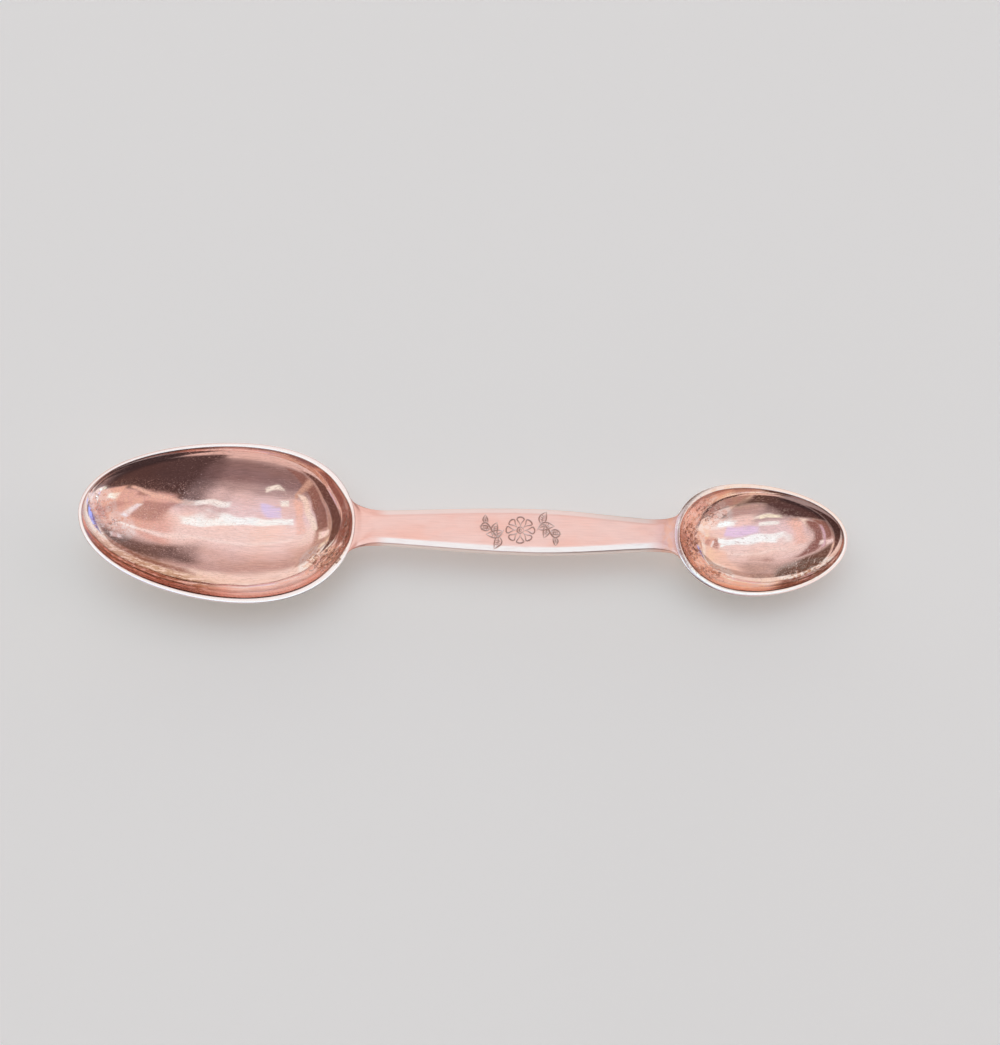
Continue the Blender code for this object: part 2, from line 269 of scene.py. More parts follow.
@dataclass
class Bowl:
    """A raised bowl: an outer skin, a softened rim and an inner skin.

    A point of a skin is read by its angle round the rim, zero at the tip and half a turn
    at the heel, and by its level up the wall, from 0 at the bottom to 1 under the rim.
    """

    node: str
    end: End
    rim_dip: float
    rest: float
    fullness: float
    squareness: float
    deepest_share: float
    hollow_share: float
    shoulder: float
    heel_band: float
    # The pale reach sets the painted reflection on the near wall; the next three fields place the
    # painted dark reflection on the far wall.
    pale_reach: float
    dark_reflection_from: float
    dark_reflection_to: float
    dark_reflection_depth: float
    patches: tuple[Patch, ...]
    waves: Unevenness
    wall: float = 0.9 * MM
    sweep: float = math.radians(74)
    floor_climb: float = 0.08
    dark_reflection_fade: float = 3.0 * MM
    side_band: float = 1.15 * MM
    tip_band: float = 0.68 * MM
    outer_round: float = 0.16 * MM
    inner_round: float = 0.07 * MM
    crown: float = 0.03 * MM
    under_rim_shade: float = 0.3 * MM
    lap_start_share: float = 0.75
    lap_soft_share: float = 0.35
    lap_wear_share: float = 0.6
    band_start_share: float = 0.2
    band_reach: float = 1.4
    rub_level: float = 0.985
    pale_level: float = 0.5
    pale_soft: float = 0.15
    stain_edge: float = 1.35
    segments: int = 288
    levels: int = 76
    round_steps: int = 4
    crown_steps: int = 3
    heel_x: float = field(init=False)
    length: float = field(init=False)
    half_width: float = field(init=False)
    heel_height: float = field(init=False)
    tip_rise: float = field(init=False)
    rest_level: float = field(init=False)
    lap_angle: float = field(init=False)

    def __post_init__(self) -> None:
        """Read the sizes of the bowl from its CAD node."""
        low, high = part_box(self.node)
        self.length = high.x - low.x
        self.heel_x = high.x if self.end is End.LARGE else low.x
        self.heel_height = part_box("stem")[1].z
        self.tip_rise = high.z - self.heel_height
        angles = np.linspace(0, math.pi, self.segments * 4)
        self.half_width = high.y / self.spread(angles).max()
        share = self.rest / self.length * math.sin(self.sweep)
        self.rest_level = math.asin(share) / self.sweep
        away = np.linspace(0, math.pi / 3, self.segments * 4)
        self.lap_angle = float(np.interp(self.shoulder / 2, self.outline(math.pi - away, 0.0)[1],
                                         away))

    @property
    def deepest(self) -> float:
        """Distance from the heel to the bottom centre."""
        return self.deepest_share * self.length

    def spread(self, angle: np.ndarray) -> np.ndarray:
        """Half width of the rim at an angle, as a share of the bowl's half width."""
        turn = np.cos(angle)
        return np.sin(angle) * (1 - self.fullness * turn + self.squareness * turn * turn)

    def rim_height(self, angle: np.ndarray) -> np.ndarray:
        """Height of the rim, which climbs from heel to tip and sags between them."""
        turn = np.cos(angle)
        climb = self.tip_rise * (1 + turn) / 2
        return self.heel_height + climb - self.rim_dip * (1 - turn * turn)

    def past_lap(self, angle: np.ndarray) -> np.ndarray:
        """Turn away from the heel, in half widths of the stem's lap."""
        return np.abs(np.pi - np.mod(angle, math.tau)) / self.lap_angle

    def off_lap(self, angle: np.ndarray) -> np.ndarray:
        """Share that is 0 where the stem laps the heel and 1 on the free rim."""
        return smooth((self.past_lap(angle) - self.lap_start_share) / self.lap_soft_share)

    def band(self, angle: np.ndarray) -> np.ndarray:
        """Width of the flat of the rim: widest beside the stem, worn thin at the tip."""
        toward_tip = (1 + np.cos(angle)) / 2
        free = self.side_band + (self.tip_band - self.side_band) * toward_tip
        opened = smooth(self.past_lap(angle) / self.band_reach - self.band_start_share)
        return self.heel_band + (free - self.heel_band) * opened

    def outline(self, angle: np.ndarray, inset: np.ndarray) -> tuple[np.ndarray, np.ndarray]:
        """Plan of the rim, moved inwards.

        Args:
            angle: Angles round the rim.
            inset: How far each point moves inwards.

        Returns:
            Distance from the heel along the spoon, and Y.
        """
        turn, rise = np.cos(angle), np.sin(angle)
        swell = 1 - self.fullness * turn + self.squareness * turn * turn
        swell_slope = self.fullness * rise - 2 * self.squareness * turn * rise
        along_slope = -self.length / 2 * rise
        across_slope = self.half_width * (turn * swell + rise * swell_slope)
        run = np.hypot(along_slope, across_slope)
        along = self.length / 2 * (1 + turn) - inset * across_slope / run
        return along, self.half_width * rise * swell + inset * along_slope / run

    def place(self, along: np.ndarray, across: np.ndarray, height: np.ndarray) -> np.ndarray:
        """Points in space, from the distance to the heel, the Y and the height."""
        x = self.heel_x + self.end.value * along
        return np.stack(np.broadcast_arrays(x, across, height), axis=-1)

    def from_heel(self, points: np.ndarray) -> np.ndarray:
        """Distance of points from the heel, along the spoon."""
        return (points[..., 0] - self.heel_x) * self.end.value

    def rim_point(self, angle: np.ndarray, inset: np.ndarray, drop: np.ndarray) -> np.ndarray:
        """Points of the rim, moved inwards by an inset and down by a drop."""
        along, across = self.outline(angle, inset)
        return self.place(along, across, self.rim_height(angle) - drop)

    def reach(self, level: np.ndarray) -> np.ndarray:
        """How far from its middle to the rim a skin has come at a level, as a share."""
        return np.sin(level * self.sweep) / math.sin(self.sweep)

    def skin(self, angle: np.ndarray, level: np.ndarray, inset: np.ndarray, middle: float,
             floor: float, start: float, edge_drop: float) -> np.ndarray:
        """Points of a skin that leaves its floor at a level and ends under the rim."""
        reach = self.reach(level)
        climb = math.cos(start * self.sweep) - np.cos(level * self.sweep)
        climb_share = climb / (math.cos(start * self.sweep) - math.cos(self.sweep))
        along, across = self.outline(angle, inset)
        edge = self.rim_height(angle) - edge_drop
        height = floor + (edge - floor) * np.maximum(climb_share, 0)
        return self.place(middle + (along - middle) * reach, across * reach, height)

    def outer(self, angle: np.ndarray, level: np.ndarray) -> np.ndarray:
        """Points of the outer skin, which stands on its worn flat."""
        return self.skin(angle, level, np.zeros_like(angle), self.deepest, 0.0,
                         self.rest_level, self.outer_round)

    def inner(self, angle: np.ndarray, level: np.ndarray) -> np.ndarray:
        """Points of the inner skin, whose floor climbs a little towards the tip."""
        middle = self.hollow_share * self.length
        points = self.skin(angle, level, self.band(angle), middle, self.wall, 0.0,
                           self.inner_round)
        from_middle = self.from_heel(points) - middle
        points[..., 2] += self.floor_climb * from_middle * (1 - self.reach(level) ** 2)
        return points

    def outer_frame(self, angle: np.ndarray, level: np.ndarray) -> tuple[np.ndarray, ...]:
        """Slopes of the outer skin by angle and by level, and its outward normals."""
        step = 0.001
        by_angle = self.outer(angle + step, level) - self.outer(angle - step, level)
        by_level = self.outer(angle, level + step) - self.outer(angle, level - step)
        normal = unit(np.cross(by_angle, by_level)) * self.end.value
        return by_angle / (2 * step), by_level / (2 * step), normal

    def outside(self, angle: np.ndarray, level: np.ndarray, offset: np.ndarray) -> np.ndarray:
        """Points that stand off the outer skin by an offset."""
        normal = self.outer_frame(angle, level)[2]
        return self.outer(angle, level) + normal * np.asarray(offset)[..., None]

    def level_at(self, reach: float) -> float:
        """Level of the outer skin at a distance from the heel, along the middle."""
        share = 1 - reach / self.deepest
        return math.asin(share * math.sin(self.sweep)) / self.sweep

    def half_sphere(self, name: str) -> tuple[Workpiece, np.ndarray, np.ndarray]:
        """Cut a sphere in half as the blank of a skin.

        Args:
            name: Name of the blank.

        Returns:
            The blank, with the angle and the level of each of its points.
        """
        Workpiece.clear_bench()
        centre = self.heel_x + self.end.value * self.length / 2
        bpy.ops.mesh.primitive_uv_sphere_add(
            segments=self.segments, ring_count=2 * self.levels, radius=self.length / 2,
            location=(centre, 0, self.heel_height))
        blank = Workpiece(name)
        blank.edit()
        bpy.ops.mesh.bisect(plane_co=(centre, 0, self.heel_height), plane_no=(0, 0, 1),
                            clear_outer=True)
        blank.take_up()
        toward = unit(blank.points() - (centre, 0, self.heel_height))
        level = np.arccos(np.clip(-toward[:, 2], 0, 1)) / (math.pi / 2)
        angle = np.arctan2(toward[:, 1], toward[:, 0] * self.end.value)
        blank.mark(Mask.ANGLE, angle)
        return blank, angle, level

    def draw_rim(self, skin: Workpiece, path: list[tuple[float, float]], from_inside: bool) -> None:
        """Draw the open edge of a skin over the rim, ring by ring.

        Args:
            skin: The skin, with the angle of each point.
            path: Shares of the rounding and of the crown that each ring has passed.
            from_inside: Whether the skin is the inner one.
        """
        skin.edit()
        skin.open_edges()
        for turned, crossed in path:
            bpy.ops.mesh.extrude_edges_move()
            mesh = bmesh.from_edit_mesh(skin.body.data)
            # The painted shade under the rim and the painted dark reflection are cleared on the rim
            # itself.
            angle_of, wear_and_highlight_of, *painted_darks_of = (
                mesh.verts.layers.float[kind.value]
                for kind in (Mask.ANGLE, Mask.WEAR_AND_HIGHLIGHT, Mask.UNDER_RIM_SHADE, Mask.DARK_REFLECTION))
            ring = [vertex for vertex in mesh.verts if vertex.select]
            angle = np.array([vertex[angle_of] for vertex in ring])
            points = self.rim_ring(angle, turned, crossed, from_inside)
            wear = self.lap_wear_share + (1 - self.lap_wear_share) * self.off_lap(angle)
            for vertex, point, share in zip(ring, points, wear):
                vertex.co = point
                vertex[wear_and_highlight_of] = share
                for painted_dark_of in painted_darks_of:
                    vertex[painted_dark_of] = 0.0
            bmesh.update_edit_mesh(skin.body.data)
        skin.take_up()

    def rim_ring(self, angle: np.ndarray, turned: float, crossed: float,
                 from_inside: bool) -> np.ndarray:
        """Points of one ring of the rim.

        Args:
            angle: Angles of the points.
            turned: Share of the rounded edge that lies behind the ring.
            crossed: Share of the way from that edge to the crown of the rim.
            from_inside: Whether the ring is counted from the inner edge.

        Returns:
            The points.
        """
        free = self.off_lap(angle)
        edge = self.inner_round if from_inside else self.outer_round * (0.1 + 0.9 * free)
        swing = turned * math.pi / 2
        half_band = self.band(angle) / 2
        inset = edge * (1 - math.cos(swing)) + (half_band - edge) * crossed
        crown = self.crown * (1.0 if from_inside else free)
        drop = edge * (1 - math.sin(swing)) + crown * (1 - crossed) ** 2
        if from_inside:
            inset = self.band(angle) - inset
        return self.rim_point(angle, inset, drop)

    def near_wall(self, points: np.ndarray) -> np.ndarray:
        """Painted reflection on the wall at -Y: 1 by the heel, where it is painted pale, to -1,
        where it is painted brown.
        """
        along = self.from_heel(points)
        toward_heel = smooth((self.pale_reach - along) / self.pale_reach * 3)
        return smooth(-points[:, 1] / self.half_width * 2 - 0.2) * (2 * toward_heel - 1)

    def dark_reflection_share(self, points: np.ndarray, below: np.ndarray) -> np.ndarray:
        """How strongly a painted dark reflection darkens the wall at +Y, from 0 to 1.

        Args:
            points: Points of the inner skin.
            below: How far each lies below the rim.

        Returns:
            Shares: 1 close under the rim, in the dark span towards the tip.
        """
        along = self.from_heel(points)
        span = smooth((along - self.dark_reflection_from) / self.dark_reflection_fade)
        span *= smooth((self.dark_reflection_to - along) / self.dark_reflection_fade)
        side = smooth(points[:, 1] / self.half_width * 3 + 0.4)
        return span * side * smooth((self.dark_reflection_depth - below) / self.dark_reflection_depth * 3)

    def stain(self, points: np.ndarray, kind: Mask) -> np.ndarray:
        """How far each point of the inner skin is stained in one way, from 0 to 1."""
        along = self.from_heel(points)
        total = np.zeros(len(points))
        for patch in self.patches:
            if patch.kind is kind:
                away = np.hypot((along - patch.along) / patch.reach,
                                (points[:, 1] - patch.across) / patch.spread)
                total = np.maximum(total, patch.strength * smooth(self.stain_edge - away))
        return total

    def build(self, metal: bpy.types.Material) -> bpy.types.Object:
        """Raise the bowl: shape both skins, draw their edges over the rim and join them.

        Args:
            metal: Material of the bowl.

        Returns:
            The finished bowl.
        """
        path = [(step / self.round_steps, 0.0) for step in range(1, self.round_steps + 1)]
        path += [(1.0, step / self.crown_steps) for step in range(1, self.crown_steps)]
        shell, angle, level = self.half_sphere(self.node + "_raised")
        shell.move_to(self.outer(angle, level))
        on_rest = smooth((self.rest_level * 1.5 - level) / self.rest_level)
        rubbed = smooth((level - self.rub_level) / (1 - self.rub_level))
        shell.mark(Mask.WEAR_AND_HIGHLIGHT, np.maximum(on_rest, rubbed * self.off_lap(angle)))
        for kind in (Mask.UNDER_RIM_SHADE, Mask.PALE, Mask.DARK_REFLECTION, Mask.TARNISH, Mask.GOLD):
            shell.mark(kind, np.zeros_like(level))
        self.draw_rim(shell, path, False)
        lining, angle, level = self.half_sphere(self.node + "_lining")
        points = self.inner(angle, level)
        points[:, 2] += self.waves.at(points[:, 0], points[:, 1]) * smooth((1 - level) * 2.5)
        lining.move_to(points)
        below = self.rim_height(angle) - points[:, 2] - self.inner_round
        up_wall = smooth((level - self.pale_level) / self.pale_soft)
        lining.mark(Mask.WEAR_AND_HIGHLIGHT, np.zeros_like(level))
        # Painted shade in a thin line under the rim.
        lining.mark(Mask.UNDER_RIM_SHADE, smooth(1 - below / self.under_rim_shade))
        # Painted reflection on the near wall: pale by the heel, brown towards the tip.
        lining.mark(Mask.PALE, self.near_wall(points) * up_wall)
        # Painted dark reflection on the far wall, under the rim towards the tip.
        lining.mark(Mask.DARK_REFLECTION, self.dark_reflection_share(points, below))
        self.draw_rim(lining, path, True)
        for kind in (Mask.TARNISH, Mask.GOLD):
            lining.mark(kind, self.stain(lining.points(), kind))
        lining.edit()
        bpy.ops.mesh.flip_normals()
        shell.join(lining)
        shell.edit()
        shell.open_edges()
        bpy.ops.mesh.bridge_edge_loops()
        shell.weld(MM / 1000)
        shell.wipe(Mask.ANGLE)
        return shell.finish(self.node, Slot.BOWL, metal)


@dataclass(frozen=True)
class Stroke:
    """One line of the engraving: its points, and half its width at the middle."""

    points: np.ndarray
    half_width: float


@dataclass(frozen=True)
class Engraving:
    """A spray of leaves cut in the flat of the stem, with a rosette in its middle."""

    centre: Point
    half_length: float = 8.3 * MM
    depth: float = 0.09 * MM
    line: float = 0.2 * MM
    petals: int = 8
    petal_reach: float = 2.8 * MM
    eye: float = 0.65 * MM
    leaves: int = 5
    leaf_length: float = 3.3 * MM
    sway: float = 1.4 * MM
    sample: float = 0.04 * MM

    def petal(self, index: int) -> Stroke:
        """Outline of one petal of the rosette, tapered to its tip."""
        share = np.linspace(0, 1, 60)
        middle = math.tau * index / self.petals
        swing = math.pi / self.petals * 0.85 * np.sin(share * math.tau)
        reach = self.eye + (self.petal_reach - self.eye) * np.sin(share * math.pi) ** 0.8
        heading = middle + swing * np.sin(share * math.pi) ** 0.5
        return Stroke(polar(reach, heading), self.line * 0.8)

    def ring(self, centre: Point, radius: float) -> Stroke:
        """A small ring, as for the eye of the rosette and for a berry."""
        heading = np.linspace(0, math.tau, 40)
        return Stroke(polar(radius, heading) + centre, self.line * 0.8)

    def vine(self) -> np.ndarray:
        """The wavy stalk to the right of the rosette, which curls up at its end."""
        share = np.linspace(0, 1, 120)
        start = self.petal_reach + self.line * 2
        reach = self.half_length - start - self.sway
        stalk = np.stack([start + reach * share, self.sway * np.sin(share * math.pi * 1.5)], axis=-1)
        turn = np.linspace(0, math.pi * 1.7, 70)
        radius = self.sway * 0.75 * (1 - turn / turn[-1] * 0.75)
        centre = stalk[-1] + (0, self.sway * 0.75)
        curl = centre + np.stack([radius * np.sin(turn), -radius * np.cos(turn)], axis=-1)
        return np.concatenate([stalk, curl])

    def leaf(self, root: np.ndarray, heading: float, length: float) -> list[Stroke]:
        """A pointed leaf with its midrib and a few veins.

        Args:
            root: Where the leaf leaves its stalk.
            heading: The way in which it points.
            length: From root to tip.

        Returns:
            The lines of the leaf.
        """
        share = np.linspace(0, 1, 40)
        ahead = np.array([math.cos(heading), math.sin(heading)])
        aside = np.array([-ahead[1], ahead[0]])
        bow = 0.1 * length * np.sin(share * math.pi)
        middle = root + np.outer(share * length, ahead) + np.outer(bow, aside)
        breadth = 0.24 * length * np.sin(share ** 0.8 * math.pi)
        lines = [Stroke(middle[:30], self.line * 0.6)]
        for side in (-1, 1):
            edge = middle + np.outer(breadth * side, aside)
            lines.append(Stroke(edge, self.line * 0.85))
            for stop in (11, 17, 23):
                outward = np.linspace(0, 0.75, 12)
                vein = middle[stop] + np.outer(outward * breadth[stop], aside * side)
                vein = vein + np.outer(outward * breadth[stop] * 0.7, ahead)
                lines.append(Stroke(vein, self.line * 0.45))
        return lines

    def side(self) -> list[Stroke]:
        """The stalk with its leaves and berries, to the right of the rosette."""
        vine = self.vine()
        lines = [Stroke(vine, self.line)]
        for index in range(self.leaves):
            stop = int(8 + 102 * index / (self.leaves - 1))
            run = vine[stop + 2] - vine[stop - 2]
            side = 1 if index % 2 else -1
            heading = math.atan2(run[1], run[0]) + side * 0.85
            length = self.leaf_length * (1 - 0.11 * index)
            lines += self.leaf(vine[stop], heading, length)
        lines.append(self.ring(vine[-1], self.line * 1.3))
        return lines

    def strokes(self) -> list[Stroke]:
        """Every line of the engraving, about its centre."""
        lines = [self.petal(index) for index in range(self.petals)]
        lines += [self.ring((0.0, 0.0), radius) for radius in (self.eye, self.eye * 0.4)]
        for stroke in self.side():
            lines.append(stroke)
            lines.append(Stroke(-stroke.points, stroke.half_width))
        return lines

    def cut(self, x: np.ndarray, y: np.ndarray) -> np.ndarray:
        """How deep the lines are at places on the stem, as a share of the full depth.

        Args:
            x: Places along the spoon.
            y: Places across it.

        Returns:
            Shares from 0 to 1.
        """
        total = np.zeros_like(x)
        places = np.stack([x - self.centre[0], y - self.centre[1]], axis=-1)
        for stroke in self.strokes():
            low = stroke.points.min(axis=0) - stroke.half_width
            high = stroke.points.max(axis=0) + stroke.half_width
            near = np.nonzero(((places > low) & (places < high)).all(axis=-1))[0]
            if not len(near):
                continue
            steps = np.linalg.norm(np.diff(stroke.points, axis=0), axis=-1)
            run = np.concatenate([[0], np.cumsum(steps)])
            stops = np.linspace(0, run[-1], max(int(run[-1] / self.sample), 2))
            line = np.stack([np.interp(stops, run, stroke.points[:, axis]) for axis in (0, 1)],
                            axis=-1)
            swell = 0.45 + 0.55 * np.sin(np.linspace(0, math.pi, len(line)))
            away = np.linalg.norm(places[near][:, None] - line[None], axis=-1)
            shares = 1 - (away / (stroke.half_width * swell)) ** 2
            shares = np.clip(shares, 0, 1) * swell
            total[near] = np.maximum(total[near], shares.max(axis=1))
        return total


@dataclass
class Root:
    """One root of the stem: its lap on a bowl's heel, and the flare from neck to lap."""

    bowl: Bowl
    drop: float
    length: float
    neck_width: float
    columns: int
    gap: float = 0.015 * MM
    edge: float = 0.5 * MM
    pull: float = 1.6
    flare_steps: int = 44
    hollow: float = 0.2 * MM
    hollow_near: float = 1.7 * MM
    hollow_far: float = 4.6 * MM

    def __post_init__(self) -> None:
        """Work out how far the lap runs round and under the heel."""
        self.half_angle = self.bowl.lap_angle
        self.fall = 1 - self.bowl.level_at(self.drop)
        self.neck_x = self.bowl.heel_x - self.bowl.end.value * self.length
        self.turn = np.linspace(0, math.pi, self.columns + 1)

    def path(self, turn: np.ndarray) -> tuple[np.ndarray, np.ndarray]:
        """Angle and level of the lap's edge, which arches from shoulder to shoulder."""
        return math.pi - self.half_angle * np.cos(turn), 1 - self.fall * np.sin(turn)

    def outward(self, turn: np.ndarray) -> np.ndarray:
        """Direction along the bowl's skin, square out of the lap's edge."""
        angle, level = self.path(turn)
        by_angle, by_level, _ = self.bowl.outer_frame(angle, level)
        run = -by_angle * (self.half_angle * np.cos(turn))[:, None]
        return unit(run - by_level * (self.fall * np.sin(turn))[:, None])

    def top_edge(self, turn: np.ndarray) -> np.ndarray:
        """Points of the stem's top where it meets the rim at the heel."""
        angle = self.path(turn)[0]
        return self.bowl.rim_point(angle, np.full_like(angle, -self.gap), 0.0)

    def lap_edge(self, turn: np.ndarray) -> np.ndarray:
        """Outer points of the lap's blunt edge."""
        angle, level = self.path(turn)
        rise = np.sqrt(np.clip(np.sin(turn), 0, 1))
        points = self.bowl.outside(angle, level, self.gap + self.edge * rise)
        return np.where((rise > 1e-3)[:, None], points, self.top_edge(turn))

    def seat(self, rows: int) -> np.ndarray:
        """Points of the seat, row by row from the rim down to the lap's edge."""
        angle, level = self.path(self.turn)
        top, bottom = self.top_edge(self.turn), self.lap_edge(self.turn)
        layers = [top]
        for row in range(rows):
            row_level = 1 - (1 - level) * row / (rows - 1)
            layer = self.bowl.outside(angle, row_level, np.full_like(angle, self.gap))
            layer[0], layer[-1] = top[0], top[-1]
            layers.append(layer)
        return np.stack([*layers, bottom])

    def end_ring(self) -> tuple[np.ndarray, np.ndarray]:
        """Where the flare ends, and the way in which it runs into each of those points."""
        back = self.turn[-2:0:-1]
        ahead = np.array([self.bowl.end.value, 0.0, 0.0])
        side = np.abs(np.cos(back)) ** 3
        shoulder = np.where(back < math.pi / 2, 0.0, math.pi)
        over = ahead + (self.outward(shoulder) - ahead) * side[:, None]
        points = np.concatenate([self.lap_edge(self.turn), self.top_edge(back)])
        return points, np.concatenate([self.outward(self.turn), over])

    def flare(self, neck: np.ndarray) -> np.ndarray:
        """Rings from just past the neck to the end ring.

        Args:
            neck: The section of the stem at the neck.

        Returns:
            Array of rings, each an array of points.
        """
        ends, pulls = self.end_ring()
        ahead = np.array([self.bowl.end.value, 0.0, 0.0])
        run = np.abs(ends[:, 0] - neck[:, 0])
        swing = np.hypot(ends[:, 1] - neck[:, 1], ends[:, 2] - neck[:, 2])
        swing = np.maximum(swing, run * np.abs(pulls[:, 0]))
        leave = ahead * (run * self.pull)[:, None]
        arrive = pulls * (swing * self.pull)[:, None]
        rings = []
        for share in np.linspace(0, 1, self.flare_steps + 1)[1:]:
            square, cube = share ** 2, share ** 3
            ring = (neck * (2 * cube - 3 * square + 1) + leave * (cube - 2 * square + share)
                    + ends * (3 * square - 2 * cube) + arrive * (cube - square))
            ring[self.columns + 1:, 2] -= self.dip(np.abs(ends - ring)[self.columns + 1:, 0])
            rings.append(ring)
        return np.array(rings)

    def dip(self, away: np.ndarray) -> np.ndarray:
        """Depth of the shallow hollow in the top, by the distance from the rim."""
        rising = smooth(away / self.hollow_near)
        fading = smooth((self.hollow_far - away) / (self.hollow_far - self.hollow_near))
        return self.hollow * rising * fading


@dataclass
class Stem:
    """The forged stem: a bevelled bar that swells in its middle and laps both heels."""

    large: Root
    small: Root
    engraving: Engraving
    width: float = 9.9 * MM
    thickness: float = 3.0 * MM
    neck_thickness: float = 2.6 * MM
    bevel: float = 1.6 * MM
    bevel_drop: float = 0.62 * MM
    lip: float = 0.26 * MM
    facet_drop: float = 0.155 * MM
    far_drop_share: float = 0.7
    bevel_share: float = 0.15
    # Share of the painted highlight on the far bevel; the highlight depth is how far down the sides
    # it runs.
    far_highlight_share: float = 0.85
    warm_seam: float = 2.9 * MM
    highlight_depth: float = 1.7 * MM
    widest_share: float = 0.55
    swell_power: float = 1.2
    side_power: float = 0.75
    coarse: float = 0.42 * MM
    fine: float = 0.08 * MM
    fade_steps: int = 8
    seat_rows: int = 6

    def top_profile(self, half: float) -> tuple[np.ndarray, np.ndarray]:
        """The top from edge to edge: a lip, a bevel, the flat, a bevel and a lip.

        Args:
            half: Half of the stem's width.

        Returns:
            Y from the left edge to the right edge, without the edges, and drop below the top.
        """
        columns = self.large.columns
        share = np.linspace(-1, 1, columns + 1)[1:-1]
        flat_share = 1 - 2 * self.bevel_share
        on_flat = np.abs(share) <= flat_share
        past = (np.abs(share) - flat_share) / (1 - flat_share)
        across = np.where(on_flat, np.abs(share) / flat_share * (half - self.bevel),
                          half - self.bevel * (1 - past))
        stops = [0, half - self.bevel, half - self.lip, half]
        drop = np.interp(across, stops, [0, 0, self.facet_drop, self.bevel_drop])
        worn_drop = np.interp(across, stops,
                              [0, 0, self.facet_drop * self.far_drop_share, self.bevel_drop])
        return np.sign(share) * across, np.where(share > 0, worn_drop, drop)

    def section(self, x: float, width: float, thickness: float) -> np.ndarray:
        """Cross-section of the stem: round below, flat above, with a bevel on each side."""
        half = width / 2
        top = self.large.bowl.heel_height
        side = top - self.bevel_drop
        turn = self.large.turn
        across = np.sign(np.cos(turn)) * np.abs(np.cos(turn)) ** self.side_power * half
        depth = np.abs(np.sin(turn)) ** self.side_power * (thickness - self.bevel_drop)
        over_y, over_drop = self.top_profile(half)
        y = np.concatenate([across, over_y])
        z = np.concatenate([side - depth, top - over_drop])
        return np.stack([np.full_like(y, x), y, z], axis=-1)

    def stations(self) -> np.ndarray:
        """Places of the sections from neck to neck, close together under the engraving."""
        first = self.engraving.centre[0] - self.engraving.half_length
        last = self.engraving.centre[0] + self.engraving.half_length
        spans = [(self.large.neck_x, first, self.coarse), (first, last, self.fine),
                 (last, self.small.neck_x, self.coarse)]
        places = [np.linspace(start, stop, round((stop - start) / step) + 1)[:-1]
                  for start, stop, step in spans]
        return np.concatenate([*places, [self.small.neck_x]])

    def bar(self) -> np.ndarray:
        """Sections between the two necks, with the swell of the stem between them."""
        large, small = self.large, self.small
        widest_x = large.neck_x + self.widest_share * (small.neck_x - large.neck_x)
        rings = []
        for x in self.stations():
            neck = large if x < widest_x else small
            share = (x - neck.neck_x) / (widest_x - neck.neck_x)
            swell = math.sin(math.pi / 2 * share ** self.swell_power)
            width = neck.neck_width + (self.width - neck.neck_width) * swell
            thickness = self.neck_thickness + (self.thickness - self.neck_thickness) * swell
            rings.append(self.section(x, width, thickness))
        return np.array(rings)

    def rolled_grid(self, name: str, rows: np.ndarray) -> Workpiece:
        """Bend a plane grid to rows of points.

        Args:
            name: Name of the workpiece.
            rows: Array of rows, each an array of points.

        Returns:
            The grid, with its points at those places.
        """
        Workpiece.clear_bench()
        count, width = rows.shape[:2]
        bpy.ops.mesh.primitive_grid_add(x_subdivisions=width - 1, y_subdivisions=count - 1,
                                        size=2)
        sheet = Workpiece(name)
        flat = sheet.points()
        column = np.rint((flat[:, 0] + 1) / 2 * (width - 1)).astype(int)
        row = np.rint((flat[:, 1] + 1) / 2 * (count - 1)).astype(int)
        sheet.move_to(rows[row, column])
        return sheet

    def build(self, metal: bpy.types.Material) -> bpy.types.Object:
        """Forge the stem, cut its engraving and close its seats on the heels.

        Args:
            metal: Material of the stem.

        Returns:
            The finished stem.
        """
        bar = self.bar()
        rings = np.concatenate([self.large.flare(bar[0])[::-1], bar, self.small.flare(bar[-1])])
        x, y = rings[..., 0], rings[..., 1]
        top = self.large.bowl.heel_height
        on_top = rings[..., 2] > top - self.bevel_drop
        cut = self.engraving.cut(x.ravel(), y.ravel()).reshape(x.shape) * on_top
        rings[..., 2] -= cut * self.engraving.depth
        body = self.rolled_grid("stem_forged", closed(rings))
        body.mark(Mask.CUT, closed(cut).ravel())
        # Rubbed bevels, and a painted highlight on the bevels and sides.
        body.mark(Mask.WEAR_AND_HIGHLIGHT, self.worn(body))
        to_seam = self.small.bowl.heel_x - body.points()[:, 0]
        body.mark(Mask.GOLD, smooth((self.warm_seam - to_seam) / self.warm_seam * 3))
        seats = [self.rolled_grid("seat", root.seat(self.seat_rows))
                 for root in (self.large, self.small)]
        body.join(*seats)
        body.weld(MM / 1000)
        return body.finish("stem", Slot.STEM, metal)

    def worn(self, body: Workpiece) -> np.ndarray:
        """Where handling has rubbed the bevels bright, with a painted highlight that runs down the
        sides and is weaker on the far side, for each point of the bar.
        """
        points = body.points()
        large, small = self.large, self.small
        drop = large.bowl.heel_height - points[:, 2]
        fade = self.coarse * self.fade_steps
        inside = smooth((points[:, 0] - large.neck_x) / fade + 0.5)
        inside *= smooth((small.neck_x - points[:, 0]) / fade + 0.5)
        # The far side gets less of the painted highlight than the near side.
        inside *= np.where(points[:, 1] < 0, 1.0, self.far_highlight_share)
        on_bevel = smooth((drop - self.facet_drop / 12) / (self.facet_drop / 5))
        return on_bevel * smooth((self.highlight_depth - drop) / self.bevel_drop) * inside


